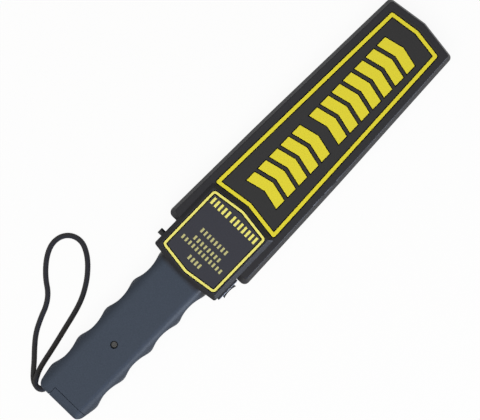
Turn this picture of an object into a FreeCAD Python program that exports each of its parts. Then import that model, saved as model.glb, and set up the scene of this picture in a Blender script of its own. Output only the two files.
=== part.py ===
import FreeCAD, Part
import math
import os

from FreeCAD import Vector

# Hand-held security metal detector wand, lying on its back. Millimetres.
# X runs across it towards the switch side, Y along it towards the search tip, Z out of the front face.
# The origin is under the middle of the wand, on the surface that it lies on.

# Overall form
overall_length = 410.0
wall = 2.2
chevron_slope = 0.137
grip_step = 3.5
block_rise = 4.0
edge_round = 1.1

# Fits
parting_gap = 0.3
tongue_thickness = 1.0
tongue_height = 1.6
slip_fit = 0.1
close_fit = 0.05
moving_gap = 0.3
overrun = 3.0

# Shares that shape corners and bends
corner_room_share = 0.48
least_corner_share = 0.6
bend_share = 0.45
quarter_pull_share = 0.5523

# Control block
block_half = 32.4
block_top_y = 6.4
block_bottom_y = -67.9
block_corner = 2.0
block_bevel = 3.1
block_edge_round = 0.7

# Search paddle
paddle_base_y = -39.3
paddle_mid_y = 62.0
paddle_shoulder = 9.1
paddle_mid_narrowing = 2.6
paddle_tip_narrowing = 8.0
paddle_base_corner = 4.5
paddle_tip_corner = 4.0
paddle_side_bow = 3000.0
paddle_facet_side = 3.0
paddle_facet_base = 4.4
paddle_facet_tip = 2.2
paddle_facet_drop = 9.0

# Battery, its bay and the cover at the grip's end
battery_width = 26.5
battery_depth = 17.5
battery_length = 48.5
battery_round = 2.0
jacket_wall = 0.4
jacket_end = 1.0
cell_count = 6
stud_offset = 6.35
stud_radius = 3.0
stud_height = 2.6
snap_side_inset = 0.75
snap_face_inset = 2.5
snap_thickness = 3.6
snap_round = 3.0
bay_play = 0.5
bay_margin = 0.75
rib_shares = (0.15, 0.5, 0.85)
cover_length = 7.8
cover_seam = 0.4
cover_room = 3.55
neck_length = 3.3
neck_wall = 2.0
neck_side = 1.0
rail_width = 1.3
rail_height = 0.9
pad_thickness = 1.6
pad_width_share = 0.67

# Wrist strap, its slot and its stop
cord_diameter = 4.5
strap_margin = 1.8
strap_drop = 6.0
strap_seat_depth = 5.8
strap_slot_play = 0.35
strap_flare = 2.8
stop_length = 5.0
stop_rim = 0.7

# Grip
grip_shoulder = 9.3
groove_depth = 2.8
groove_count = 4
first_crest_rise = 2.3
last_crest_rise = 16.6
crest_radius = 9.0
end_taper_deg = 12.0
end_corner = 6.5
end_edge_round = 4.0

# Case screws: self-tapping, in from the front
screw_shank = 2.9
screw_head = 5.2
screw_head_height = 2.1
screw_recess = 6.2
screw_recess_depth = 4.5
screw_tip_gap = 1.3
screw_slot_width = 0.9
screw_slot_depth = 1.3
screw_cross_share = 0.33
boss_outer = 8.0
boss_clearance = 3.4
grip_screw_rise = 10.6
block_screw_inset = 8.9
block_screw_drop = 10.9
coil_screw_rise = 23.0
coil_screw_share = 0.5
tip_screw_drop = 31.0
tip_screw_share = 0.42

# Buzzer on the rear housing's floor
buzzer_y = 4.5
buzzer_radius = 11.5
buzzer_height = 10.0
buzzer_port_radius = 1.5
gasket_thickness = 1.2
gasket_width = 2.4
buzzer_ring_wall = 1.3
buzzer_ring_height = 6.0
sound_hole_radius = 1.1
sound_hole_circle = 5.5
sound_hole_count = 6

# Search coil
coil_buzzer_gap = 4.0
coil_gap = 1.5
coil_corner = 12.0
flange_width = 4.2
flange_thickness = 1.4
former_height = 9.2
former_wall = 1.8
winding_play = 0.3
coil_post_radius = 2.4
coil_post_shares = (0.06, 0.5, 0.94)

# Circuit board
board_gap = 3.7
board_end_gap = 7.9
board_buzzer_gap = 1.4
board_drop = 10.0
board_thickness = 1.6
board_corner = 2.0
board_screw_inset = 3.6
board_screw_low_inset = 15.0
board_boss_outer = 6.0
board_screw_shank = 2.0
board_screw_head = 4.2
board_screw_head_height = 1.4
board_screw_length = 7.5

# Parts on the circuit board. Most stand in four columns; rows are shares of the board's length
part_gap = 1.2
column_gap_shares = (0.18, 0.17, 0.05, 0.26, 0.34)
chip_length = 19.3
chip_width = 6.4
chip_height = 3.3
chip_lift = 0.5
chip_leg = 0.5
chip_leg_pitch = 2.54
chip_legs_per_side = 7
chip_row_shares = (0.36, 0.66)
can_radius = 3.2
can_height = 11.0
can_row_shares = (0.508, 0.655, 0.803)
film_length = 7.2
film_width = 3.2
film_height = 8.0
film_row_shares = (0.46, 0.60, 0.74)
resistor_radius = 1.15
resistor_length = 6.3
resistor_span = 10.2
resistor_wire = 0.3
resistor_shares = [(0.50, 0.22), (0.40, 0.48), (0.40, 0.54), (0.42, 0.78), (0.50, 0.84)]
transistor_radius = 2.3
transistor_height = 4.6
transistor_lift = 2.5
transistor_pitch = 1.27
transistor_row_shares = (0.37, 0.48, 0.59)
inductor_radius = 4.2
inductor_height = 9.0
inductor_core_radius = 2.4
inductor_flange = 1.2
inductor_end_gap = 0.4
trimmer_side = 6.8
trimmer_height = 4.4
trimmer_rotor_radius = 1.9
trimmer_rotor_proud = 0.6
trimmer_bore_depth = 1.6
trimmer_slot = 0.6
trimmer_row_share = 0.90
header_width = 5.0
header_height = 6.0
header_pitch = 2.5
low_header_ways = 6
low_header_shares = (0.50, 0.12)
high_header_ways = 4
high_header_shares = (0.50, 0.92)

# Rocker switch in the right wall
switch_rise = 17.3
bezel_length = 20.8
bezel_width = 15.0
bezel_proud = 2.2
bezel_round = 0.5
switch_length = 19.2
switch_width = 12.8
switch_depth = 14.0
rocker_length = 12.9
rocker_width = 10.2
rocker_reach = 4.2
rocker_dish = 1.1
rocker_pivot_depth = 3.0
rocker_pocket_depth = 9.4
rocker_end_gap = 0.85
rocker_taper = 1.6
rocker_root = 3.2
pivot_radius = 1.0
pivot_reach = 0.8
blade_width = 4.0
blade_thickness = 0.8
blade_length = 6.5
blade_pitch = 5.6
blade_eye_radius = 0.8
blade_eye_share = 0.75

# Push button in the left wall, with its switch on the circuit board
button_rise = 13.8
button_radius = 2.55
button_proud = 4.4
button_round = 0.4
button_flange_radius = 3.8
button_flange = 1.2
button_travel = 1.5
button_stem_radius = 1.2
button_overlap = 1.0
button_switch_gap = 4.2
button_switch_depth = 6.7
button_switch_width = 8.0
spring_radius = 2.6
spring_wire = 0.5
spring_turns = 3

# Vibration motor in the grip
motor_x = -8.0
motor_share = 0.3927
motor_radius = 3.5
motor_length = 14.0
motor_shaft_radius = 0.6
motor_shaft_length = 7.5
weight_radius = 3.2
weight_length = 4.0
clip_wall = 1.2
clip_thickness = 0.6
clip_length = 8.0

# Indicator lamps in the block's lower end wall
lamp_margin = 0.25
lamp_pitch = 10.0
lamp_length = 5.0
lamp_leg = 0.5
lamp_leg_gap = 1.27
lamp_sink = 0.2

# Labels
label_recess = 0.45
label_thickness = 0.35
label_corner = 2.2
label_gap = 0.3
paddle_label_margin = 8.3
paddle_label_drop = 6.6
block_label_margin = 0.6
rear_label_margin = 10.0
rear_label_drop = 7.0
rear_label_gap = 8.0

# Wires inside the case
lead_radius = 0.65

# Lengths along the wand that follow from the sizes above
tip_y = overall_length / 2
end_y = -overall_length / 2
first_crest_y = block_bottom_y + first_crest_rise
groove_pitch = (first_crest_y - end_y - last_crest_rise) / groove_count
grip_top_y = first_crest_y + groove_pitch / 2
cover_top_y = end_y + cover_length
neck_end_y = cover_top_y - neck_length
battery_end_y = end_y + wall + pad_thickness + 2 * close_fit
battery_top_y = battery_end_y + battery_length
snap_y = battery_top_y + slip_fit
grip_screw_y = battery_top_y + grip_screw_rise
strap_seat_y = end_y + strap_seat_depth
coil_base_y = buzzer_y + buzzer_radius + coil_buzzer_gap
board_low_y = block_bottom_y + board_end_gap
board_high_y = buzzer_y - buzzer_radius - slip_fit - buzzer_ring_wall - board_buzzer_gap
switch_y = block_bottom_y + switch_rise
button_y = block_bottom_y + button_rise
motor_y = grip_screw_y + motor_share * (first_crest_y - grip_screw_y)

# Widths: the grip is as wide as the battery bay and the strap's slot side by side
strap_slot_half = cord_diameter / 2 + strap_slot_play
strap_zone = strap_margin + 2 * strap_slot_half + wall + slip_fit
bay_zone = bay_margin + battery_width + 2 * bay_play + neck_side + close_fit
grip_cavity_half = (strap_zone + bay_zone) / 2
grip_valley_half = grip_cavity_half + wall
grip_crest_half = grip_valley_half + groove_depth
grip_flat_half = grip_crest_half - grip_shoulder
neck_right_x = grip_cavity_half - close_fit
bay_right_x = neck_right_x - neck_side
battery_x = bay_right_x - bay_play - battery_width / 2
bay_left_x = battery_x - battery_width / 2 - bay_play
cover_left_x = bay_left_x - bay_margin
strap_x = cover_left_x - wall - slip_fit - strap_slot_half
board_half = block_half - wall - board_gap
paddle_base_half = block_half + paddle_shoulder
paddle_mid_half = paddle_base_half - paddle_mid_narrowing
paddle_tip_half = paddle_base_half - paddle_tip_narrowing

# Heights: the grip is as thick as the battery, its neck and the cover round them
grip_thickness = battery_depth + 2 * (bay_play + neck_wall + cover_room + wall)
paddle_thickness = grip_thickness + 2 * grip_step
block_thickness = paddle_thickness + block_rise
parting_z = paddle_thickness / 2
front_seam_z = parting_z + parting_gap / 2
rear_seam_z = parting_z - parting_gap / 2
grip_rear_z = grip_step
grip_front_z = grip_rear_z + grip_thickness
grip_floor_z = grip_rear_z + wall
bay_low_z = parting_z - battery_depth / 2 - bay_play
bay_high_z = parting_z + battery_depth / 2 + bay_play
neck_low_z = bay_low_z - neck_wall
neck_high_z = bay_high_z + neck_wall
strap_low_z = parting_z - strap_drop - (cord_diameter + slip_fit) / 2
strap_high_z = strap_low_z + cord_diameter + slip_fit
strap_slot_low_z = strap_low_z - strap_slot_half
strap_slot_high_z = strap_high_z + strap_slot_half
screw_seat_z = grip_front_z - screw_recess_depth
screw_tip_z = grip_floor_z + screw_tip_gap
former_low_z = parting_z - former_height / 2
former_high_z = parting_z + former_height / 2
board_low_z = parting_z - board_drop
board_top_z = board_low_z + board_thickness
header_top_z = board_top_z + header_height
buzzer_low_z = wall + gasket_thickness
buzzer_top_z = buzzer_low_z + buzzer_height
motor_z = grip_floor_z + clip_wall + motor_radius
lamp_z = (grip_front_z + paddle_thickness) / 2
lamp_radius = grip_step / 2 - lamp_margin

X_AXIS = Vector(1, 0, 0)
Y_AXIS = Vector(0, 1, 0)
Z_AXIS = Vector(0, 0, 1)
FRONT = 1
REAR = -1
RIGHT = 1
LEFT = -1
BOTH_SIDES = (RIGHT, LEFT)
FILM_COLUMN = 0
CHIP_COLUMN = 1
TRANSISTOR_COLUMN = 2
CAN_COLUMN = 3


# Shapes that the pieces are built from

def box(x0, x1, y0, y1, z0, z1):
    return Part.makeBox(x1 - x0, y1 - y0, z1 - z0, Vector(x0, y0, z0))


def block_at(x, y, width, length, z0, z1):
    """A box centred on a place in plan."""
    return box(x - width / 2, x + width / 2, y - length / 2, y + length / 2, z0, z1)


def side_block(x0, x1, y, length, width):
    """A box along X, centred on a place in the side wall, at the height of the parting line."""
    return box(x0, x1, y - length / 2, y + length / 2, parting_z - width / 2, parting_z + width / 2)


def grip_slab(y0, y1, z0, z1):
    """A box across the whole grip."""
    return box(-block_half, block_half, y0, y1, z0, z1)


def rod(x, y, z, radius, length, axis=Z_AXIS):
    return Part.makeCylinder(radius, length, Vector(x, y, z), axis)


def ring(x, y, z, outer, inner, length, axis=Z_AXIS):
    return rod(x, y, z, outer, length, axis).cut(rod(x, y, z, inner, length, axis))


def fused(shapes):
    first, rest = shapes[0], shapes[1:]
    return first.fuse(rest).removeSplitter() if rest else first


def group(shapes):
    return Part.makeCompound(shapes)


def corner_arc(before, corner, after, radius):
    """Start, middle and end of the arc that rounds a corner, no larger than its two sides allow."""
    back = (before - corner).normalize()
    ahead = (after - corner).normalize()
    turn = math.pi - back.getAngle(ahead)
    room = corner_room_share * min((before - corner).Length, (after - corner).Length)
    tangent = min(radius * math.tan(turn / 2), room)
    radius = tangent / math.tan(turn / 2)
    inward = (back + ahead).normalize()
    middle = corner + inward * (radius / math.cos(turn / 2) - radius)
    return corner + back * tangent, middle, corner + ahead * tangent


def inset_corners(corners, insets):
    """The corners of a closed outline, listed anticlockwise, after each side moves inwards."""
    lines = []
    for corner, following, inset in zip(corners, corners[1:] + corners[:1], insets):
        start, end = Vector(*corner), Vector(*following)
        along = (end - start).normalize()
        lines.append((start + Vector(-along.y, along.x, 0) * inset, along))
    moved = []
    for (p, d), (q, e) in zip(lines[-1:] + lines[:-1], lines):
        reach = ((q - p).x * e.y - (q - p).y * e.x) / (d.x * e.y - d.y * e.x)
        moved.append(p + d * reach)
    return moved


def outline(corners, radii, inset=0.0, z=0.0):
    """A closed wire with rounded corners, anticlockwise; the inset is one value or one for each side."""
    count = len(corners)
    insets = inset if isinstance(inset, (list, tuple)) else [inset] * count
    points = inset_corners([(x, y, 0) for x, y in corners], insets)
    arcs = []
    for before, corner, after, radius, near, far in zip(
        points[-1:] + points[:-1], points, points[1:] + points[:1], radii, insets[-1:] + insets[:-1], insets
    ):
        arriving, leaving = corner - before, after - corner
        step = (near + far) / 2
        if arriving.x * leaving.y > arriving.y * leaving.x:
            radius = max(radius - step, radius * least_corner_share)
        else:
            radius = radius + step
        arcs.append([p + Vector(0, 0, z) for p in corner_arc(before, corner, after, radius)])
    edges = []
    for (start, middle, end), following in zip(arcs, arcs[1:] + arcs[:1]):
        edges.append(Part.Arc(start, middle, end).toShape())
        edges.append(Part.LineSegment(end, following[0]).toShape())
    return Part.Wire(edges)


def prism(corners, radii, z0, z1, inset=0.0):
    return Part.Face(outline(corners, radii, inset, z0)).extrude(Vector(0, 0, z1 - z0))


def rounded_block(x, y, width, length, z0, z1, radius):
    """A box centred on a place in plan, with rounded upright edges."""
    half_x, half_y = width / 2, length / 2
    low_x, high_x, low_y, high_y = x - half_x, x + half_x, y - half_y, y + half_y
    corners = [(low_x, low_y), (high_x, low_y), (high_x, high_y), (low_x, high_y)]
    return prism(corners, [radius] * len(corners), z0, z1)


def pad(corners, radii, levels):
    """A solid through outlines at several heights: levels holds (height, inset) pairs."""
    wires = [outline(corners, radii, inset, z) for z, inset in levels]
    return Part.makeLoft(wires, True, True)


def rounded_rim(shape, z, radius):
    """Rounds the edges of the flat face at height z."""
    rim = [e for e in shape.Edges if abs(e.BoundBox.ZMin - z) + abs(e.BoundBox.ZMax - z) < close_fit]
    return shape.makeFillet(radius, rim)


def rounded_side(shape, x, radius):
    """Rounds the edges of the flat face at one place along X."""
    rim = [e for e in shape.Edges if abs(e.BoundBox.XMin - x) + abs(e.BoundBox.XMax - x) < close_fit]
    return shape.makeFillet(radius, rim)


def tube(points, radius):
    """A round tube along straight runs joined by arcs as large as the runs allow; its length and radii."""
    edges, radii = [], []
    start = points[0]
    for before, corner, after in zip(points, points[1:], points[2:]):
        back, ahead = before - corner, after - corner
        turn = math.pi - back.getAngle(ahead)
        tangent = bend_share * min(back.Length, ahead.Length)
        bend = tangent / math.tan(turn / 2)
        back.normalize()
        ahead.normalize()
        inward = (back + ahead).normalize()
        middle = corner + inward * (bend / math.cos(turn / 2) - bend)
        edges.append(Part.LineSegment(start, corner + back * tangent).toShape())
        edges.append(Part.Arc(corner + back * tangent, middle, corner + ahead * tangent).toShape())
        start = corner + ahead * tangent
        radii.append(bend)
    edges.append(Part.LineSegment(start, points[-1]).toShape())
    path = Part.Wire(edges)
    section = Part.Face(Part.Wire(Part.Circle(points[0], points[1] - points[0], radius).toShape()))
    return path.makePipe(section), path.Length, radii


# The plan forms of the housing

def chevron_rise(x):
    """How far a chevron edge falls back from its point at a place across the wand."""
    return abs(x) * chevron_slope


def paddle_half_width(y):
    """Half the paddle's width at a place along it."""
    low_y, low_half, high_y, high_half = paddle_base_y, paddle_base_half, paddle_mid_y, paddle_mid_half
    if y > paddle_mid_y:
        low_y, low_half = paddle_mid_y, paddle_mid_half
        high_y, high_half = tip_y - chevron_rise(paddle_tip_half), paddle_tip_half
    return low_half + (high_half - low_half) * (y - low_y) / (high_y - low_y)


def paddle_corners(base_y=paddle_base_y):
    """The paddle's outline, with its base at a chosen place along it."""
    right = [
        (paddle_half_width(base_y), base_y),
        (paddle_mid_half, paddle_mid_y),
        (paddle_tip_half, tip_y - chevron_rise(paddle_tip_half)),
    ]
    return right + [(0, tip_y)] + [(-x, y) for x, y in reversed(right)]


def paddle_radii(base_corner, tip_corner):
    return [base_corner, paddle_side_bow, tip_corner, tip_corner, tip_corner, paddle_side_bow, base_corner]


def block_corners():
    """The control block's hexagon: pointed at both ends, with upright sides."""
    low_y = block_bottom_y + chevron_rise(block_half)
    high_y = block_top_y - chevron_rise(block_half)
    right = [(0, block_bottom_y), (block_half, low_y), (block_half, high_y)]
    return right + [(0, block_top_y), (-block_half, high_y), (-block_half, low_y)]


def paddle_prism(z0, z1, inset):
    return prism(paddle_corners(), paddle_radii(paddle_base_corner, paddle_tip_corner), z0, z1, inset)


def block_prism(z0, z1, inset, corner=block_corner):
    return prism(block_corners(), [corner] * len(block_corners()), z0, z1, inset)


def paddle_half(side, inset, start_z):
    """Half of the paddle, front or rear, from start_z to its face, shrunk by inset all round."""
    face_z = (paddle_thickness if side == FRONT else 0) - side * inset
    flank, tip = [paddle_facet_side + inset] * 2, [paddle_facet_tip + inset] * 2
    facets = flank + tip + flank + [paddle_facet_base + inset]
    levels = [(start_z, inset), (face_z - side * paddle_facet_drop, inset), (face_z, facets)]
    half = pad(paddle_corners(), paddle_radii(paddle_base_corner, paddle_tip_corner), levels)
    return half if inset else rounded_rim(half, face_z, edge_round)


def block_part(side, inset, start_z):
    """Half of the control block: it stands proud of the paddle in front, and is flush with it behind."""
    face_z = (block_thickness if side == FRONT else 0) - side * inset
    levels = [(start_z, inset), (face_z - side * block_rise, inset), (face_z, inset + block_bevel)]
    half = pad(block_corners(), [block_corner] * len(block_corners()), levels)
    return half if inset else rounded_rim(half, face_z, block_edge_round)


def grip_end_curves(inset):
    """The right side of the grip's end in plan: its corner arc and tapered side, and where they end."""
    taper = math.radians(end_taper_deg)
    crest = crest_radius - inset
    top_x = grip_crest_half - crest_radius + crest * math.cos(taper)
    top = Vector(top_x, end_y + last_crest_rise - crest * math.sin(taper), 0)
    down = Vector(-math.sin(taper), -math.cos(taper), 0)
    corner = top + down * ((top.y - end_y - inset) / math.cos(taper))
    arc = corner_arc(Vector(0, end_y + inset, 0), corner, top, end_corner - inset)
    return [arc, (arc[2], top)], top


def groove_curves(inset, start):
    """The right side's crests and finger grooves as alternating arcs, from the grip's end to the block."""
    half_pitch = groove_pitch / 2
    radius_sum = (half_pitch ** 2 + groove_depth ** 2) / (2 * groove_depth)
    crest = crest_radius - inset
    groove = radius_sum - crest
    crest_x = grip_crest_half - crest_radius
    groove_x = grip_valley_half + radius_sum - crest_radius
    across = Vector(groove_x - crest_x, half_pitch, 0).normalize() * crest
    curves = []
    for k in range(groove_count, 0, -1):
        crest_y = first_crest_y - k * groove_pitch
        leave = Vector(crest_x, crest_y, 0) + across
        arrive = Vector(crest_x, crest_y + groove_pitch, 0) + Vector(across.x, -across.y, 0)
        curves.append((start, Vector(crest_x + crest, crest_y, 0), leave))
        curves.append((leave, Vector(groove_x - groove, crest_y + half_pitch, 0), arrive))
        start = arrive
    centre = Vector(crest_x, first_crest_y, 0)
    crown = centre + Vector(crest, 0, 0)
    middle = centre + (start + crown - centre * 2).normalize() * crest
    curves.append((start, middle, crown))
    curves.append((crown, Vector(crown.x, grip_top_y + overrun, 0)))
    return curves


def grip_plan(inset):
    """The grip seen from in front, as a face."""
    end_curves, top = grip_end_curves(inset)
    curves = end_curves + groove_curves(inset, top)
    edges = []
    for points in curves:
        for line in (points, [Vector(-p.x, p.y, 0) for p in points]):
            curve = Part.Arc(*line) if len(line) > 2 else Part.LineSegment(*line)
            edges.append(curve.toShape())
    for point in (curves[0][0], curves[-1][-1]):
        edges.append(Part.LineSegment(Vector(-point.x, point.y, 0), point).toShape())
    return Part.Face(Part.Wire(Part.__sortEdges__(edges)))


def grip_section(half, inset, y0, y1):
    """A bar along Y with the grip's section: flat front and rear, sides rounded as quarter ellipses."""
    height = grip_thickness / 2 - inset
    flat = min(grip_flat_half, half - wall)
    edges = []
    for sx in BOTH_SIDES:
        for sz in (FRONT, REAR):
            side = Vector(sx * half, y0, parting_z)
            face = Vector(sx * flat, y0, parting_z + sz * height)
            pull_z = Vector(0, 0, sz * height * quarter_pull_share)
            pull_x = Vector(sx * (half - flat) * quarter_pull_share, 0, 0)
            curve = Part.BezierCurve()
            curve.setPoles([side, side + pull_z, face + pull_x, face])
            edges.append(curve.toShape())
    for sz in (FRONT, REAR):
        z = parting_z + sz * height
        edges.append(Part.LineSegment(Vector(-flat, y0, z), Vector(flat, y0, z)).toShape())
    wire = Part.Wire(Part.__sortEdges__(edges))
    return Part.Face(wire).extrude(Vector(0, y1 - y0, 0))


def along_y_prism(corners, radii, x0, x1):
    """A prism along X whose corners are given as (y, z) pairs."""
    shape = prism(corners, radii, x0, x1)
    shape.rotate(Vector(0, 0, 0), Vector(1, 1, 1), math.degrees(2 * math.pi / 3))
    return shape


def grip_body(inset):
    """The whole grip, from its rounded end to inside the control block."""
    bar = grip_section(grip_crest_half - inset, inset, end_y - overrun, grip_top_y)
    plan = grip_plan(inset).extrude(Vector(0, 0, block_thickness))
    low_z, high_z, low_y = grip_rear_z + inset, grip_front_z - inset, end_y + inset
    corners = [(low_y, low_z), (grip_top_y, low_z), (grip_top_y, high_z), (low_y, high_z)]
    radii = [end_edge_round, close_fit, close_fit, end_edge_round]
    return bar.common(plan).common(along_y_prism(corners, radii, -block_half, block_half))


# Openings and fixings that both halves of the housing share

def plan_prism(inset, z0, z1):
    """The case's plan outline, shrunk by inset, as one upright prism."""
    half = grip_valley_half - inset
    grip = box(-half, half, strap_seat_y - wall + inset, grip_top_y, z0, z1)
    corner = box(cover_left_x - inset, block_half, end_y, cover_top_y + inset, z0, z1)
    return fused([paddle_prism(z0, z1, inset), block_prism(z0, z1, inset), grip.cut(corner)])


def cover_zone(gap):
    """The space of the battery cover, smaller by gap on its seams."""
    return box(cover_left_x + gap, block_half, end_y - overrun, cover_top_y - gap, -overrun, block_thickness)


def battery_neck():
    """The collar that the cover slides over, with a groove along it in front and behind."""
    collar = box(cover_left_x - wall, neck_right_x, neck_end_y, cover_top_y, neck_low_z, neck_high_z)
    groove_y = (neck_end_y + cover_top_y) / 2
    half, depth = rail_width / 2 + slip_fit, rail_height + slip_fit
    low_y, high_y, right_x = groove_y - half, groove_y + half, neck_right_x + overrun
    front = box(cover_left_x, right_x, low_y, high_y, neck_high_z - depth, block_thickness)
    rear = box(cover_left_x, right_x, low_y, high_y, 0, neck_low_z + depth)
    return collar.cut([front, rear])


def battery_hole():
    """The bay's mouth through the neck and the bulkhead behind it."""
    return box(bay_left_x, bay_right_x, end_y, cover_top_y + wall + overrun, bay_low_z, bay_high_z)


def battery_ribs(cavity, z0, z1):
    """The bay's side wall and cross ribs, between two heights, which hold the battery in the grip."""
    ribs = [box(bay_left_x - wall / 2, bay_left_x, cover_top_y, battery_top_y, z0, z1)]
    for share in rib_shares:
        rib_y = cover_top_y + share * (battery_top_y - cover_top_y)
        ribs.append(box(bay_left_x, block_half, rib_y, rib_y + wall / 2, z0, z1))
    bay = box(bay_left_x, bay_right_x, end_y, battery_top_y + overrun, bay_low_z, bay_high_z)
    return fused(ribs).cut(bay).common(cavity)


def switch_cutout():
    """The opening through the right wall for the rocker switch."""
    play = 2 * slip_fit
    inner_x = block_half - switch_depth
    return side_block(inner_x, block_half + overrun, switch_y, switch_length + play, switch_width + play)


def button_hole():
    outer_x = -block_half - overrun
    return rod(outer_x, button_y, parting_z, button_radius + slip_fit, wall + 2 * overrun, X_AXIS)


def strap_slot():
    """The strap's way out of the grip's end, flared towards the corner that the strap goes round."""
    left, right = strap_x - strap_slot_half, strap_x + strap_slot_half
    low_y, high_y = end_y - overrun, strap_seat_y + overrun
    corners = [
        (left - strap_flare - overrun, low_y),
        (right, low_y),
        (right, high_y),
        (left, high_y),
        (left, end_y + strap_flare),
    ]
    points = [Vector(x, y, strap_slot_low_z) for x, y in corners + corners[:1]]
    height = strap_slot_high_z - strap_slot_low_z
    return Part.Face(Part.makePolygon(points)).extrude(Vector(0, 0, height))


def shared_cuts():
    cover_space = cover_zone(0.0).cut(battery_neck())
    return [cover_space, battery_hole(), switch_cutout(), button_hole(), strap_slot()]


def case_screw_places():
    """One screw in the grip, and a pair each in the block, inside the coil's base and near the tip."""
    coil_y = coil_base_y + coil_screw_rise
    upper_y = tip_y - tip_screw_drop
    places = [(0, grip_screw_y)]
    for sx in BOTH_SIDES:
        places.append((sx * (block_half - block_screw_inset), block_top_y - block_screw_drop))
        places.append((sx * paddle_half_width(coil_y) * coil_screw_share, coil_y))
        places.append((sx * paddle_half_width(upper_y) * tip_screw_share, upper_y))
    return places


def coil_post_places():
    """Where posts from both halves hold the coil former's flanges."""
    low_y, high_y = coil_base_y + coil_corner, tip_y - 2 * coil_corner
    places = []
    for share in coil_post_shares:
        y = low_y + share * (high_y - low_y)
        x = paddle_half_width(y) - wall - coil_gap - flange_width / 2
        places += [(x, y), (-x, y)]
    return places


def board_screw_places():
    places = []
    for y in (board_low_y + board_screw_low_inset, board_high_y - board_screw_inset):
        x = board_half - board_screw_inset
        places += [(x, y), (-x, y)]
    return places


def sound_hole_places():
    places = [(0, buzzer_y)]
    for k in range(sound_hole_count):
        angle = 2 * math.pi * k / sound_hole_count
        places.append((sound_hole_circle * math.cos(angle), buzzer_y + sound_hole_circle * math.sin(angle)))
    return places


# Labels

def chevron_label(base_half, base_y, tip_half, top_y, z0, z1, inset):
    """A label with straight tapered sides, a chevron top and a base cut to the same chevron."""
    shoulder_y = top_y - chevron_rise(tip_half)
    corners = [
        (base_half, base_y),
        (tip_half, shoulder_y),
        (0, top_y),
        (-tip_half, shoulder_y),
        (-base_half, base_y),
        (0, base_y + chevron_rise(base_half)),
    ]
    return prism(corners, [label_corner] * len(corners), z0, z1, inset)


def paddle_label_outline(inset, z0, z1):
    """The front paddle label: it runs from the control block's foot almost to the tip."""
    foot_y = block_top_y - chevron_rise(block_half)
    base_half = paddle_half_width(foot_y) - paddle_label_margin
    top_y = tip_y - paddle_label_drop
    tip_half = paddle_half_width(top_y) - paddle_label_margin
    base_y = block_top_y - chevron_rise(base_half) + label_gap
    label = chevron_label(base_half, base_y, tip_half, top_y, z0, z1, inset)
    return label.cut(block_prism(0, 2 * block_thickness, -slip_fit))


def control_label_outline(inset, z0, z1):
    """The control block's label: the plateau's own hexagon."""
    return block_prism(z0, z1, block_bevel + block_label_margin + inset, label_corner + block_bevel)


def rear_label_outline(inset, z0, z1):
    base_y = buzzer_y + buzzer_radius + rear_label_gap
    top_y = tip_y - rear_label_drop
    base_half = paddle_half_width(base_y) - rear_label_margin
    tip_half = paddle_half_width(top_y) - rear_label_margin
    return chevron_label(base_half, base_y, tip_half, top_y, z0, z1, inset)


def paddle_label():
    low_z = paddle_thickness - label_recess
    return paddle_label_outline(0.0, low_z, low_z + label_thickness)


def control_label():
    low_z = block_thickness - label_recess
    return control_label_outline(0.0, low_z, low_z + label_thickness)


def rear_label():
    return rear_label_outline(0.0, label_recess - label_thickness, label_recess)


# Housing

def housing_shell(side, seam_z):
    """One half of the case as a shell, with its outer form and its cavity."""
    face_z = block_thickness if side == FRONT else -overrun
    reach = grip_slab(end_y - overrun, tip_y, min(seam_z, face_z), max(seam_z, face_z))
    paddle, block = paddle_half(side, 0.0, seam_z), block_part(side, 0.0, seam_z)
    outer = fused([paddle, block, grip_body(0.0).common(reach)])
    inner_z = seam_z - side * overrun
    grip = grip_section(grip_cavity_half, wall, strap_seat_y, grip_top_y)
    bulkhead = box(cover_left_x - wall, block_half, end_y, cover_top_y + wall, 0, block_thickness)
    paddle, block = paddle_half(side, wall, inner_z), block_part(side, wall, inner_z)
    cavity = fused([paddle, block, grip.cut(bulkhead)])
    return outer.cut(cavity), outer, cavity


def front_housing():
    """The front half: tongue, screw bosses, coil posts, battery ribs and neck, with all that opens in it."""
    shell, outer, cavity = housing_shell(FRONT, front_seam_z)
    tongue_z = parting_z - tongue_height
    tongue = plan_prism(wall - tongue_thickness, tongue_z, front_seam_z + slip_fit)
    tongue = tongue.cut(plan_prism(wall, tongue_z - overrun, front_seam_z + overrun))
    bosses = [rod(x, y, front_seam_z, boss_outer / 2, block_thickness) for x, y in case_screw_places()]
    bosses += [rod(x, y, former_high_z, coil_post_radius, block_thickness) for x, y in coil_post_places()]
    ribs = battery_ribs(cavity, front_seam_z, block_thickness)
    shell = shell.fuse([tongue, group(bosses).common(outer), ribs, battery_neck()])
    cuts = shared_cuts() + [grip_slab(end_y, cover_top_y + wall, -overrun, front_seam_z)]
    for x, y in case_screw_places():
        cuts.append(rod(x, y, parting_z, boss_clearance / 2, block_thickness))
        cuts.append(rod(x, y, screw_seat_z, screw_recess / 2, block_thickness))
    for x in lamp_places():
        cuts.append(lamp_bore(x))
    cuts.append(paddle_label_outline(-slip_fit, paddle_thickness - label_recess, block_thickness))
    cuts.append(control_label_outline(-slip_fit, block_thickness - label_recess, block_thickness + overrun))
    return shell.cut(cuts).removeSplitter()


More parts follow.
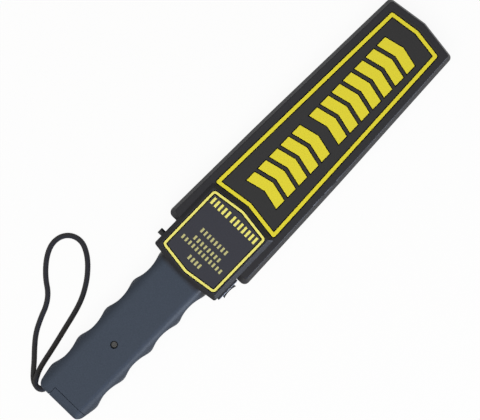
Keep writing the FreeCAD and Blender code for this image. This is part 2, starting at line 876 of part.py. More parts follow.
def rear_housing():
    """The rear half: rebate for the tongue, bosses, posts, buzzer ring, motor saddle and sound holes."""
    shell, outer, cavity = housing_shell(REAR, rear_seam_z)
    rebate_z = parting_z - tongue_height - slip_fit
    shell = shell.cut(plan_prism(wall - tongue_thickness - slip_fit, rebate_z, parting_z + overrun))
    bosses = [rod(x, y, 0, boss_outer / 2, rear_seam_z) for x, y in case_screw_places()]
    bosses += [rod(x, y, 0, coil_post_radius, former_low_z) for x, y in coil_post_places()]
    bosses += [rod(x, y, 0, board_boss_outer / 2, board_low_z) for x, y in board_screw_places()]
    ring_inner = buzzer_radius + slip_fit
    bosses.append(ring(0, buzzer_y, 0, ring_inner + buzzer_ring_wall, ring_inner, wall + buzzer_ring_height))
    ribs = battery_ribs(cavity, 0, rebate_z)
    shell = shell.fuse([group(bosses).common(outer), ribs, battery_neck(), motor_saddle(cavity)])
    cuts = shared_cuts() + [grip_slab(end_y, cover_top_y + wall, rear_seam_z, block_thickness)]
    for x, y in case_screw_places():
        cuts.append(rod(x, y, screw_tip_z - slip_fit, screw_shank / 2 + close_fit, block_thickness))
    for x, y in board_screw_places():
        pilot_z = board_top_z - board_screw_length - slip_fit
        cuts.append(rod(x, y, pilot_z, board_screw_shank / 2 + close_fit, block_thickness))
    for x, y in sound_hole_places():
        cuts.append(rod(x, y, -overrun, sound_hole_radius, wall + 2 * overrun))
    cuts.append(rear_label_outline(-slip_fit, -overrun, label_recess))
    return shell.cut(cuts).removeSplitter()


def cover_rail(side):
    """A rail inside the cover, with a narrower lip that runs in the neck's groove."""
    near = neck_high_z + moving_gap if side == FRONT else neck_low_z - moving_gap
    lip = near - side * (moving_gap + rail_height - 2 * slip_fit)
    far = parting_z + side * (grip_thickness / 2 - wall / 2)
    rail_y = (neck_end_y + cover_top_y) / 2
    left_x, middle_x = cover_left_x + cover_seam, (cover_left_x + cover_seam + neck_right_x) / 2
    length = neck_right_x - left_x
    rail = block_at(middle_x, rail_y, length, 2 * rail_width, min(near, far), max(near, far))
    edge = block_at(middle_x, rail_y, length, rail_width, min(lip, near), max(lip, near))
    return rail.fuse(edge)


def battery_cover():
    """A cap over the grip's end that slides off to the right along its two rails."""
    cap = grip_body(0.0).common(cover_zone(cover_seam))
    hollow = grip_body(wall).common(cover_zone(-overrun))
    rails = group([cover_rail(FRONT), cover_rail(REAR)]).common(grip_body(wall / 2))
    return cap.cut(hollow).fuse(rails).removeSplitter()


def case_screws():
    """Pan-head screws with a cross recess, all alike."""
    top_z = screw_seat_z + screw_head_height
    length = screw_seat_z - screw_tip_z
    long_arm, short_arm = 2 * screw_head * screw_cross_share, screw_slot_width
    screws = []
    for x, y in case_screw_places():
        head = rod(x, y, screw_seat_z, screw_head / 2, screw_head_height)
        head = rounded_rim(head, top_z, screw_head_height / 3)
        shank = rod(x, y, screw_tip_z, screw_shank / 2, length)
        slot_z = top_z - screw_slot_depth
        arms = [
            block_at(x, y, long_arm, short_arm, slot_z, top_z + overrun),
            block_at(x, y, short_arm, long_arm, slot_z, top_z + overrun),
        ]
        screws.append(fused([head, shank]).cut(arms))
    return group(screws)


# Search coil

def coil_loop(outer_inset, inner_inset, z0, z1):
    """A ring that follows the paddle's sides and tip and closes with a straight base."""
    corners, radii = paddle_corners(coil_base_y), paddle_radii(coil_corner, coil_corner)
    hole = prism(corners, radii, z0 - overrun, z1 + overrun, inner_inset)
    return prism(corners, radii, z0, z1, outer_inset).cut(hole)


def coil_former():
    """A channel-shaped ring, open outwards, that the coil is wound in."""
    outer = wall + coil_gap
    frame = coil_loop(outer, outer + flange_width + former_wall, former_low_z, former_high_z)
    low_z, high_z = former_low_z + flange_thickness, former_high_z - flange_thickness
    return frame.cut(coil_loop(outer - overrun, outer + flange_width, low_z, high_z))


def coil_winding():
    outer = wall + coil_gap + winding_play
    inner = wall + coil_gap + flange_width - winding_play / 2
    low_z = former_low_z + flange_thickness + winding_play / 2
    return coil_loop(outer, inner, low_z, former_high_z - flange_thickness - winding_play / 2)


# Circuit board and what stands on it

def on_board(shares):
    """A place on the circuit board from shares of its width and length."""
    across, along = shares
    return board_half * (2 * across - 1), board_low_y + along * (board_high_y - board_low_y)


def column_x(column):
    """The middle of one of the board's columns; what width the parts leave is shared out between them."""
    widths = (film_length, chip_length, 2 * transistor_radius, 2 * can_radius)
    spare = (2 * board_half - sum(widths)) * sum(column_gap_shares[:column + 1])
    return spare + sum(widths[:column]) + widths[column] / 2 - board_half


def in_column(column, row_shares):
    """The places of the parts in one column of the board."""
    x = column_x(column)
    return [(x, on_board((0, share))[1]) for share in row_shares]


def circuit_board():
    middle_y, length = (board_low_y + board_high_y) / 2, board_high_y - board_low_y
    board = rounded_block(0, middle_y, 2 * board_half, length, board_low_z, board_top_z, board_corner)
    hole_radius = board_screw_shank / 2 + slip_fit
    return board.cut([rod(x, y, 0, hole_radius, block_thickness) for x, y in board_screw_places()])


def board_screws():
    top_z = board_top_z + board_screw_head_height
    slot_z = top_z - screw_slot_width / 2
    screws = []
    for x, y in board_screw_places():
        head = rod(x, y, board_top_z, board_screw_head / 2, board_screw_head_height)
        shank = rod(x, y, board_top_z - board_screw_length, board_screw_shank / 2, board_screw_length)
        slot = block_at(x, y, 2 * board_screw_head, screw_slot_width, slot_z, top_z + overrun)
        screws.append(fused([head, shank]).cut(slot))
    return group(screws)


def chips():
    """Two dual-in-line packages, each with its legs and the notch at its first end."""
    base_z = board_top_z + chip_lift
    shoulder_z = base_z + chip_height / 2
    made = []
    for x, y in in_column(CHIP_COLUMN, chip_row_shares):
        body = block_at(x, y, chip_length, chip_width, base_z, base_z + chip_height)
        notch = rod(x - chip_length / 2, y, shoulder_z, chip_width / 6, chip_height)
        legs = []
        for k in range(chip_legs_per_side):
            leg_x = x + (2 * k + 1 - chip_legs_per_side) * chip_leg_pitch / 2
            span = chip_width + 2 * chip_leg
            legs.append(block_at(leg_x, y, chip_leg, span, shoulder_z - chip_leg, shoulder_z))
            for side in BOTH_SIDES:
                foot_y = y + side * (span - chip_leg) / 2
                legs.append(block_at(leg_x, foot_y, chip_leg, chip_leg, board_top_z, shoulder_z))
        made.append(fused([body.cut(notch)] + legs))
    return group(made)


def electrolytic_capacitors():
    cans = []
    for x, y in in_column(CAN_COLUMN, can_row_shares):
        can = rod(x, y, board_top_z, can_radius, can_height)
        cans.append(rounded_rim(can, board_top_z + can_height, can_radius / 6))
    return group(cans)


def film_capacitors():
    top_z = board_top_z + film_height
    made = []
    for x, y in in_column(FILM_COLUMN, film_row_shares):
        body = rounded_block(x, y, film_length, film_width, board_top_z, top_z, film_width / 4)
        made.append(rounded_rim(body, top_z, film_width / 8))
    return group(made)


def resistors():
    """Axial resistors, each with one wire through it that bends down to the board at both ends."""
    half = resistor_span / 2
    axis_z = board_top_z + resistor_radius + resistor_wire
    made = []
    for shares in resistor_shares:
        x, y = on_board(shares)
        body = rod(x - resistor_length / 2, y, axis_z, resistor_radius, resistor_length, X_AXIS)
        corners = [(x - half, board_top_z), (x - half, axis_z), (x + half, axis_z), (x + half, board_top_z)]
        wire = tube([Vector(wire_x, y, z) for wire_x, z in corners], resistor_wire)[0]
        made.append(fused([body, wire]))
    return group(made)


def transistors():
    """Small round packages with one flat side, on three legs."""
    base_z = board_top_z + transistor_lift
    made = []
    for x, y in in_column(TRANSISTOR_COLUMN, transistor_row_shares):
        body = rod(x, y, base_z, transistor_radius, transistor_height)
        flat_y = y - transistor_radius * 3 / 2
        flat = block_at(x, flat_y, 2 * transistor_radius, 2 * transistor_radius, 0, block_thickness)
        legs = []
        for k in (LEFT, 0, RIGHT):
            legs.append(block_at(x + k * transistor_pitch, y, chip_leg, chip_leg, board_top_z, base_z))
        made.append(fused([body.cut(flat)] + legs))
    return group(made)


def inductor_place():
    """Beside the upper header's left end."""
    header_x = -high_header_ways * header_pitch / 2
    return header_x - part_gap - inductor_radius, board_high_y - inductor_end_gap - inductor_radius


def inductor_core():
    """The tuning inductor's ferrite bobbin."""
    x, y = inductor_place()
    core = rod(x, y, board_top_z, inductor_core_radius, inductor_height)
    foot = rod(x, y, board_top_z, inductor_radius, inductor_flange)
    head = rod(x, y, board_top_z + inductor_height - inductor_flange, inductor_radius, inductor_flange)
    return fused([core, foot, head])


def inductor_winding():
    x, y = inductor_place()
    low_z = board_top_z + inductor_flange + slip_fit / 2
    length = inductor_height - 2 * inductor_flange - slip_fit
    outer = inductor_radius - inductor_flange / 2
    return ring(x, y, low_z, outer, inductor_core_radius + close_fit, length)


def trimmer_place():
    """Beside the upper header's right end."""
    x = high_header_ways * header_pitch / 2 + part_gap + trimmer_side / 2
    return x, on_board((0, trimmer_row_share))[1]


def trimmer_body():
    x, y = trimmer_place()
    top_z = board_top_z + trimmer_height
    body = rounded_block(x, y, trimmer_side, trimmer_side, board_top_z, top_z, trimmer_side / 16)
    return body.cut(rod(x, y, top_z - trimmer_bore_depth, trimmer_rotor_radius + close_fit, trimmer_height))


def trimmer_rotor():
    """The slotted rotor that sets the sensitivity."""
    x, y = trimmer_place()
    low_z = board_top_z + trimmer_height - trimmer_bore_depth + close_fit
    top_z = board_top_z + trimmer_height + trimmer_rotor_proud
    rotor = rod(x, y, low_z, trimmer_rotor_radius, top_z - low_z)
    slot = block_at(x, y, trimmer_slot, trimmer_side, top_z - trimmer_rotor_proud, top_z + overrun)
    return rotor.cut(slot)


def board_headers():
    """Two wire headers: battery, switch and motor at the lower end, coil and buzzer at the upper end."""
    made = []
    for shares, ways in ((low_header_shares, low_header_ways), (high_header_shares, high_header_ways)):
        x, y = on_board(shares)
        made.append(block_at(x, y, ways * header_pitch, header_width, board_top_z, header_top_z))
    return group(made)


# Buzzer, motor and lamps

def buzzer_case():
    case = rod(0, buzzer_y, buzzer_low_z, buzzer_radius, buzzer_height)
    port = rod(0, buzzer_y, buzzer_low_z, buzzer_port_radius, buzzer_height / 2)
    return rounded_rim(case, buzzer_top_z, edge_round).cut(port)


def buzzer_gasket():
    return ring(0, buzzer_y, wall, buzzer_radius, buzzer_radius - gasket_width, gasket_thickness)


def motor_saddle(cavity):
    """A saddle on the rear housing's floor under the vibration motor."""
    saddle = block_at(motor_x, motor_y, 2 * (motor_radius + clip_wall), clip_length, 0, motor_z)
    hollow = rod(motor_x, motor_y - motor_length, motor_z, motor_radius + slip_fit, 2 * motor_length, Y_AXIS)
    return saddle.cut(hollow).common(cavity)


def vibration_motor():
    can = rod(motor_x, motor_y - motor_length / 2, motor_z, motor_radius, motor_length, Y_AXIS)
    bore_radius = motor_shaft_radius + close_fit
    return can.cut(rod(motor_x, motor_y - motor_length, motor_z, bore_radius, motor_length, Y_AXIS))


def motor_clip():
    """A spring strip over the motor, down to the saddle's sides."""
    inner, low_y = motor_radius + slip_fit, motor_y - clip_length / 2
    arch = ring(motor_x, low_y, motor_z, inner + clip_thickness, inner, clip_length, Y_AXIS)
    upper = block_at(motor_x, motor_y, 4 * motor_radius, 2 * clip_length, motor_z + close_fit, 2 * motor_z)
    return arch.common(upper)


def eccentric_weight():
    """The motor's shaft with its half-round weight, hanging down."""
    end = motor_y - motor_length / 2 - motor_shaft_length
    shaft = rod(motor_x, end, motor_z, motor_shaft_radius, motor_shaft_length + motor_length / 4, Y_AXIS)
    weight = rod(motor_x, end, motor_z, weight_radius, weight_length, Y_AXIS)
    low_z = motor_z + motor_shaft_radius / 2
    upper = block_at(motor_x, end, 4 * weight_radius, 4 * weight_length, low_z, 2 * motor_z)
    return fused([shaft, weight.cut(upper)])


def lamp_places():
    return (-lamp_pitch, 0, lamp_pitch)


def lamp_wall_y(x):
    return block_bottom_y + chevron_rise(x)


def lamp_bore(x):
    low_y = lamp_wall_y(x) - overrun
    return rod(x, low_y, lamp_z, lamp_radius + slip_fit, wall + 3 * overrun, Y_AXIS)


def lamp(x):
    """A small round-nosed lamp in its bore, with two legs down to the circuit board."""
    nose_y = lamp_wall_y(x) + chevron_rise(lamp_radius) + lamp_sink + lamp_radius / 2
    body = rod(x, nose_y, lamp_z, lamp_radius, lamp_length, Y_AXIS)
    cap_zone = side_cap(x, nose_y)
    nose = Part.makeSphere(lamp_radius, Vector(x, nose_y, lamp_z)).common(cap_zone)
    bend_y = max(nose_y + lamp_length, board_low_y) + lamp_leg_gap
    parts = [body, nose]
    for side in BOTH_SIDES:
        leg_x = x + side * lamp_leg_gap
        middle_y = (nose_y + lamp_length + bend_y) / 2
        reach = bend_y - nose_y - lamp_length + lamp_leg
        low_z, high_z = lamp_z - lamp_leg / 2, lamp_z + lamp_leg / 2
        parts.append(block_at(leg_x, middle_y, lamp_leg, reach, low_z, high_z))
        parts.append(block_at(leg_x, bend_y, lamp_leg, lamp_leg, board_top_z, high_z))
    return fused(parts)


def side_cap(x, nose_y):
    """The slice of the nose's ball that stands in front of the lamp's body."""
    low_z, high_z = lamp_z - lamp_radius, lamp_z + lamp_radius
    return block_at(x, nose_y - lamp_radius / 4, 2 * lamp_radius, lamp_radius / 2, low_z, high_z)


# Rocker switch

def pivot_x():
    return block_half - rocker_pivot_depth


def pivot_pin(radius, clearance):
    """A pin across the rocker and into the switch's sides, shorter at each end by the clearance."""
    reach = rocker_width / 2 + moving_gap + pivot_reach - clearance
    return rod(pivot_x(), switch_y, parting_z - reach, radius, 2 * reach)


def switch_body():
    """Bezel and case of the rocker switch, open towards the rocker, with two pivot bores."""
    front_x = block_half + bezel_proud
    bezel = side_block(block_half + close_fit, front_x, switch_y, bezel_length, bezel_width)
    bezel = rounded_side(bezel, front_x, bezel_round)
    case_x = block_half + bezel_proud / 2
    case = side_block(block_half - switch_depth, case_x, switch_y, switch_length, switch_width)
    length, width = rocker_length + 2 * rocker_end_gap, rocker_width + 2 * moving_gap
    pocket = side_block(front_x - rocker_pocket_depth, front_x + overrun, switch_y, length, width)
    return fused([bezel, case]).cut([pocket, pivot_pin(pivot_radius + close_fit, 0.0)])


def rocker():
    """A three-position rocker with a dished front, on two stub pivots."""
    tip_x, half = block_half + rocker_reach, rocker_length / 2
    root_x, root_half = pivot_x() - rocker_root / 2, rocker_length / 2 - rocker_taper
    corners = [(tip_x, half), (root_x, root_half), (root_x, -root_half), (tip_x, -half)]
    upper_tip, upper_root, lower_root, lower_tip = [Vector(x, switch_y + dy, 0) for x, dy in corners]
    curves = [
        Part.Arc(lower_tip, Vector(tip_x - rocker_dish, switch_y, 0), upper_tip),
        Part.LineSegment(upper_tip, upper_root),
        Part.Arc(upper_root, Vector(root_x - rocker_root / 2, switch_y, 0), lower_root),
        Part.LineSegment(lower_root, lower_tip),
    ]
    body = Part.Face(Part.Wire([curve.toShape() for curve in curves])).extrude(Vector(0, 0, rocker_width))
    body.translate(Vector(0, 0, parting_z - rocker_width / 2))
    return fused([body, pivot_pin(pivot_radius, close_fit)])


def switch_blades():
    """The switch's three terminal blades, each with a soldering eye."""
    rear_x = block_half - switch_depth
    blades = []
    for k in (LEFT, 0, RIGHT):
        y = switch_y + k * blade_pitch
        blade = side_block(rear_x - blade_length, rear_x, y, blade_thickness, blade_width)
        eye_x = rear_x - blade_length * blade_eye_share
        blades.append(blade.cut(rod(eye_x, y - overrun, parting_z, blade_eye_radius, 2 * overrun, Y_AXIS)))
    return group(blades)


# Push button

def button_flange_x():
    return -block_half + wall + moving_gap


def button_switch_x():
    return button_flange_x() + button_flange + button_switch_gap


def push_button():
    """The button's cap, its flange behind the wall and its stem."""
    out_x, flange_x = -block_half - button_proud, button_flange_x()
    cap = rod(out_x, button_y, parting_z, button_radius, flange_x - out_x + button_flange / 2, X_AXIS)
    cap = rounded_side(cap, out_x, button_round)
    flange = rod(flange_x, button_y, parting_z, button_flange_radius, button_flange, X_AXIS)
    stem_length = button_flange + button_switch_gap + button_overlap
    return fused([cap, flange, rod(flange_x, button_y, parting_z, button_stem_radius, stem_length, X_AXIS)])


def button_switch():
    """A board-mounted push switch with a bore for the button's stem and a cup that its spring enters."""
    x, reach = button_switch_x(), button_travel + moving_gap
    half = button_switch_width / 2
    body = box(x, x + button_switch_depth, button_y - half, button_y + half, board_top_z, parting_z + half)
    bore = rod(x, button_y, parting_z, button_stem_radius + close_fit, button_overlap + reach, X_AXIS)
    cup_inner = spring_radius - spring_wire - moving_gap
    cup = ring(x, button_y, parting_z, spring_radius + moving_gap, cup_inner, reach, X_AXIS)
    return body.cut([bore, cup])


def button_spring():
    """The return spring, from the button's flange to the mouth of the switch's cup."""
    start_x = button_flange_x() + button_flange + close_fit
    length = button_switch_gap - close_fit - spring_wire
    helix = Part.makeHelix(length / spring_turns, length, spring_radius - spring_wire / 2)
    section = Part.Wire(Part.Circle(helix.Vertexes[0].Point, Y_AXIS, spring_wire / 2).toShape())
    coil = Part.Wire(helix).makePipeShell([section], True, True)
    coil.rotate(Vector(0, 0, 0), Y_AXIS, math.degrees(math.pi / 2))
    coil.translate(Vector(start_x + spring_wire / 2, button_y, parting_z))
    return coil


# Battery and its snap connector

def bay_block(width, depth, y0, length, radius):
    """A bar along Y, centred on the battery's axis, with rounded long edges."""
    bar = rounded_block(battery_x, 0, width, depth, 0, length, radius)
    bar.rotate(Vector(0, 0, 0), X_AXIS, -math.degrees(math.pi / 2))
    bar.translate(Vector(0, y0, parting_z))
    return bar


def battery_jacket():
    """The battery's steel jacket with its end plates."""
    outer = bay_block(battery_width, battery_depth, battery_end_y, battery_length, battery_round)
    width, depth = battery_width - 2 * jacket_wall, battery_depth - 2 * jacket_wall
    inner_y, inner_length = battery_end_y + jacket_end, battery_length - 2 * jacket_end
    return outer.cut(bay_block(width, depth, inner_y, inner_length, battery_round - jacket_wall))


def battery_cells():
    """The flat cells stacked in the jacket."""
    step = (battery_length - 2 * jacket_end) / cell_count
    width = battery_width - 2 * jacket_wall - slip_fit
    depth = battery_depth - 2 * jacket_wall - slip_fit
    cells = []
    for k in range(cell_count):
        y = battery_end_y + jacket_end + k * step + close_fit / 2
        cells.append(bay_block(width, depth, y, step - close_fit, battery_round - jacket_wall))
    return group(cells)


def battery_studs():
    male_x, female_x = battery_x - stud_offset, battery_x + stud_offset
    male_radius, bore_radius = stud_radius * 5 / 6, stud_radius / 2
    male = rod(male_x, battery_top_y, parting_z, male_radius, stud_height, Y_AXIS)
    female = ring(female_x, battery_top_y, parting_z, stud_radius, bore_radius, stud_height, Y_AXIS)
    return group([male, female])


def battery_snap():
    """The moulded connector that presses onto the battery's studs."""
    width, depth = battery_width - 2 * snap_side_inset, battery_depth - 2 * snap_face_inset
    plate = bay_block(width, depth, snap_y, snap_thickness, snap_round)
    low_y, length = snap_y - overrun, stud_height + overrun
    sockets = []
    for side in BOTH_SIDES:
        x = battery_x + side * stud_offset
        sockets.append(rod(x, low_y, parting_z, stud_radius + slip_fit, length, Y_AXIS))
    return plate.cut(sockets)


def battery_pad():
    """The foam in the cover that presses the battery home."""
    depth = battery_depth - 2 * battery_round
    outer_y = end_y + wall + close_fit
    return bay_block(battery_width * pad_width_share, depth, outer_y, pad_thickness, pad_thickness)


# Wrist strap

def strap_stop():
    """The crimped stop that holds both ends of the strap behind the slot."""
    left, right = strap_x - strap_slot_half - stop_rim, strap_x + strap_slot_half
    top_y = strap_seat_y + stop_length
    body = box(left, right, strap_seat_y, top_y, strap_slot_low_z - stop_rim, strap_slot_high_z + stop_rim)
    inset = wall + moving_gap
    return body.common(grip_section(grip_valley_half - inset, inset, strap_seat_y, top_y))


# The strap's route: out of the grip's end, round the loop on the floor and back, as points along its middle
floor_z = cord_diameter / 2
strap_route = [
    (-14.9, -199.2, 16.8),
    (-14.9, -203.2, 16.8),
    (-17.7, -206.3, 16.8),
    (-21.9, -206.8, 16.6),
    (-25.3, -204.2, 15.9),
    (-27.7, -199.6, 14.6),
    (-29.9, -192.9, 11.8),
    (-32.0, -184.0, 7.6),
    (-34.2, -174.2, 4.0),
    (-36.7, -163.6, floor_z),
    (-39.1, -152.4, floor_z),
    (-41.8, -141.8, floor_z),
    (-45.8, -132.0, floor_z),
    (-52.3, -121.4, floor_z),
    (-60.6, -112.2, floor_z),
    (-68.0, -106.9, floor_z),
    (-74.9, -104.2, floor_z),
    (-81.9, -105.1, floor_z),
    (-87.4, -108.9, floor_z),
    (-90.6, -115.0, floor_z),
    (-90.9, -122.2, floor_z),
    (-88.0, -129.9, floor_z),
    (-82.4, -137.9, floor_z),
    (-74.9, -145.5, floor_z),
    (-65.9, -151.8, floor_z),
    (-60.0, -160.1, floor_z),
    (-56.4, -170.2, floor_z),
    (-51.0, -181.4, floor_z),
    (-43.6, -190.4, 3.4),
    (-36.8, -197.2, 6.6),
    (-31.4, -202.3, 9.6),
    (-26.9, -206.1, 11.4),
    (-22.1, -207.8, 12.1),
    (-17.7, -206.8, 12.2),
    (-14.9, -203.3, 12.2),
    (-14.9, -199.2, 12.2),
]


def strap_cord():
    """The doubled cord as one plain tube. Its volume is compared with its section times its length."""
    cord, length, radii = tube([Vector(*p) for p in strap_route], cord_diameter / 2)
    plain_volume = math.pi * cord_diameter ** 2 / 4 * length
    print(f"strap length {length:.1f}, volume ratio {cord.Volume / plain_volume:.3f}")
    print("strap radii", ", ".join(f"{radius:.1f}" for radius in radii))
    return cord


# Wires between the board's headers and the other parts

def lead(points):
    """A thin insulated wire; its length and smallest radius are printed."""
    wire, length, radii = tube([Vector(*p) for p in points], lead_radius)
    print(f"lead length {length:.1f}, least radius {min(radii):.1f}")
    return wire


def header_way(shares, ways, k):
    """The place of one of a header's ways, counted from its left end."""
    x, y = on_board(shares)
    return x + (2 * k + 1 - ways) * header_pitch / 2, y


def into_header(shares, ways, k, side):
    """A wire's last points: it arrives at a header from one side and turns down into one of its ways."""
    x, y = header_way(shares, ways, k)
    return [
        (x, y + side * header_pitch * 2.6, header_top_z + header_pitch * 2.2),
        (x, y + side * header_pitch * 1.1, header_top_z + header_pitch * 2.6),
        (x, y, header_top_z + header_pitch * 1.5),
        (x, y, header_top_z + close_fit),
    ]


def battery_lead(k, side):
    """One lead from the snap connector along the grip to the lower header."""
    x = battery_x + battery_width / 4 + side * 2 * lead_radius
    start_y = snap_y + snap_thickness + close_fit
    bend_y = start_y + 8 * lead_radius
    run_y = bend_y + groove_pitch / 2
    low_z = grip_floor_z + 4 * lead_radius
    points = [
        (x, start_y, parting_z),
        (x, bend_y, parting_z),
        (x - lead_radius, run_y, low_z + 3 * lead_radius),
        (x + lead_radius, (run_y + first_crest_y) / 2, low_z),
        (x - lead_radius, first_crest_y - groove_pitch / 3, low_z + 2 * lead_radius),
    ]
    return lead(points + into_header(low_header_shares, low_header_ways, k, LEFT))


def motor_lead(k, side):
    """One lead from the motor's end cap to the lower header."""
    x = motor_x + side * 2 * lead_radius
    start_y = motor_y + motor_length / 2 + close_fit
    bend_y = start_y + 8 * lead_radius
    rise_y = first_crest_y - 8 * lead_radius
    points = [
        (x, start_y, motor_z),
        (x, bend_y, motor_z),
        (x + lead_radius, (bend_y + rise_y) / 2, motor_z - lead_radius),
        (x, rise_y, motor_z + 4 * lead_radius),
    ]
    return lead(points + into_header(low_header_shares, low_header_ways, k, LEFT))


def switch_lead(k, blade, reach):
    """One lead from a switch blade across the board and into the far side of the lower header."""
    x, y = header_way(low_header_shares, low_header_ways, k)
    start_x = block_half - switch_depth - blade_length - close_fit
    start_y = switch_y + blade * blade_pitch
    points = [
        (start_x, start_y, parting_z),
        (start_x - 4 * lead_radius, start_y, parting_z),
        (x + 5 * lead_radius, y + reach, parting_z + 3 * lead_radius),
    ]
    return lead(points + into_header(low_header_shares, low_header_ways, k, RIGHT))


def coil_lead(k):
    """One lead from the coil's base over the buzzer to the upper header."""
    x = header_way(high_header_shares, high_header_ways, k)[0]
    start_y = coil_base_y + wall + coil_gap + winding_play - close_fit
    points = [
        (x, start_y, parting_z),
        (x, start_y - 10 * lead_radius, parting_z),
        (x, buzzer_y, buzzer_top_z + 8 * lead_radius),
    ]
    return lead(points + into_header(high_header_shares, high_header_ways, k, RIGHT))


def buzzer_lead(k):
    """One lead from the buzzer's top to the upper header."""
    x = header_way(high_header_shares, high_header_ways, k)[0]
    start_y = buzzer_y - buzzer_radius / 2
    points = [(x, start_y, buzzer_top_z + close_fit), (x, start_y, buzzer_top_z + 5 * lead_radius)]
    return lead(points + into_header(high_header_shares, high_header_ways, k, RIGHT))


def motor_leads():
    return group([motor_lead(0, LEFT), motor_lead(1, RIGHT)])


def switch_leads():
    """The leads of the middle and upper blades, which cross the board side by side."""
    middle, upper = low_header_ways // 2, low_header_ways // 2 - 1
    return group([switch_lead(middle, 0, header_pitch * 3.5), switch_lead(upper, RIGHT, header_pitch * 5.5)])


def coil_leads():
    return group([coil_lead(0), coil_lead(high_header_ways - 1)])


def buzzer_leads():
    middle = high_header_ways // 2
    return group([buzzer_lead(middle - 1), buzzer_lead(middle)])


def red_lead():
    return battery_lead(low_header_ways - 1, RIGHT)


def black_lead():
    return battery_lead(low_header_ways - 2, LEFT)


def battery_lamp():
    return lamp(-lamp_pitch)


def power_lamp():
    return lamp(0)


def alarm_lamp():
    return lamp(lamp_pitch)


pieces = [
    front_housing,
    rear_housing,
    battery_cover,
    paddle_label,
    control_label,
    rear_label,
    case_screws,
    coil_former,
    coil_winding,
    circuit_board,
    board_screws,
    chips,
    electrolytic_capacitors,
    film_capacitors,
    resistors,
    transistors,
    inductor_core,
    inductor_winding,
    trimmer_body,
    trimmer_rotor,
    board_headers,
    buzzer_case,
    buzzer_gasket,
    vibration_motor,
    motor_clip,
    eccentric_weight,
    battery_lamp,
    power_lamp,
    alarm_lamp,
    switch_body,
    rocker,
    switch_blades,
    push_button,
    button_switch,
    button_spring,
    battery_jacket,
    battery_cells,
    battery_studs,
    battery_snap,
    battery_pad,
    red_lead,
    black_lead,
    motor_leads,
    switch_leads,
    coil_leads,
    buzzer_leads,
    strap_stop,
    strap_cord,
]


def main():
    """Writes each piece to parts/ under its function's name."""
    os.makedirs("parts", exist_ok=True)
    for piece in pieces:
        shape = piece()
        state = "" if shape.isValid() and shape.Solids else "INVALID"
        print(piece.__name__, "solids", len(shape.Solids), "volume", round(shape.Volume, 1), state)
        shape.exportStep(f"parts/{piece.__name__}.step")


main()
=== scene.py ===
import math

import bmesh
import bpy
import numpy as np
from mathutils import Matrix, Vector


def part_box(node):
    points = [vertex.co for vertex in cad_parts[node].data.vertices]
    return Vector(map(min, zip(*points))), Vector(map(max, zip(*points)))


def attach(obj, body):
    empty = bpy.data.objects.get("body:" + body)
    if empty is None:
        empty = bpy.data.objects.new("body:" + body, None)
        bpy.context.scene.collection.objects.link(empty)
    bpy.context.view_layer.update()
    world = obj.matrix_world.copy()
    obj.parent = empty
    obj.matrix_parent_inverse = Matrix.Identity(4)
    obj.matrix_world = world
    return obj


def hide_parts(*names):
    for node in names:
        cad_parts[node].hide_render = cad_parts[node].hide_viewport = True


bl_info = {
    "name": "Security metal detector wand",
    "version": (1, 0, 0),
    "blender": (4, 5, 0),
    "location": "3D View > Sidebar > Wand",
    "description": "Finishes a hand-held metal detector: case, labels, wrist strap, switches and light",
    "category": "Object",
}

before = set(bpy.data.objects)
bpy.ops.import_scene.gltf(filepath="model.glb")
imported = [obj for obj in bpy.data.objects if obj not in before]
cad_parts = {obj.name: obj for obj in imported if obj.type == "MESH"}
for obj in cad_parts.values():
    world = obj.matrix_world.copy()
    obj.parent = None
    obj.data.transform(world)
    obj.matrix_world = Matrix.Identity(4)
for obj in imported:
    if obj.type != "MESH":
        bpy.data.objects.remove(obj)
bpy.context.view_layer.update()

# Heights of the surfaces that the labels are printed on, and the slope of their chevrons
large_film_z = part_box("paddle_label")[1].z
small_film_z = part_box("control_label")[1].z
rear_film_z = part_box("rear_label")[0].z
chevron_slope = 0.137

# The strap's route in metres: the points that draw the cord's curve along, from one end to the other
floor_z = 0.00225
strap_route = [
    (-0.0149, -0.1992, 0.0168),
    (-0.0148, -0.2064, 0.0168),
    (-0.0167, -0.2090, 0.0168),
    (-0.0198, -0.2100, 0.0167),
    (-0.0229, -0.2090, 0.0164),
    (-0.0250, -0.2062, 0.0159),
    (-0.0282, -0.2000, 0.0146),
    (-0.0301, -0.1933, 0.0118),
    (-0.0320, -0.1840, 0.0076),
    (-0.0342, -0.1742, 0.0040),
    (-0.0367, -0.1636, floor_z),
    (-0.0391, -0.1524, floor_z),
    (-0.0418, -0.1418, floor_z),
    (-0.0458, -0.1320, floor_z),
    (-0.0523, -0.1214, floor_z),
    (-0.0606, -0.1122, floor_z),
    (-0.0680, -0.1069, floor_z),
    (-0.0749, -0.1042, floor_z),
    (-0.0819, -0.1051, floor_z),
    (-0.0874, -0.1089, floor_z),
    (-0.0906, -0.1150, floor_z),
    (-0.0909, -0.1222, floor_z),
    (-0.0880, -0.1299, floor_z),
    (-0.0824, -0.1379, floor_z),
    (-0.0749, -0.1455, floor_z),
    (-0.0659, -0.1518, floor_z),
    (-0.0600, -0.1601, floor_z),
    (-0.0564, -0.1702, floor_z),
    (-0.0510, -0.1814, floor_z),
    (-0.0436, -0.1904, 0.0034),
    (-0.0368, -0.1972, 0.0066),
    (-0.0316, -0.2030, 0.0096),
    (-0.0276, -0.2073, 0.0110),
    (-0.0245, -0.2094, 0.0117),
    (-0.0205, -0.2104, 0.0121),
    (-0.0170, -0.2090, 0.0122),
    (-0.0149, -0.2058, 0.0122),
    (-0.0149, -0.1992, 0.0122),
]


def linear(hex_colour):
    """An sRGB hex colour as linear red, green, blue and alpha."""
    channels = [int(hex_colour[i:i + 2], 16) / 255 for i in (1, 3, 5)]
    return [c / 12.92 if c <= 0.04045 else ((c + 0.055) / 1.055) ** 2.4 for c in channels] + [1.0]


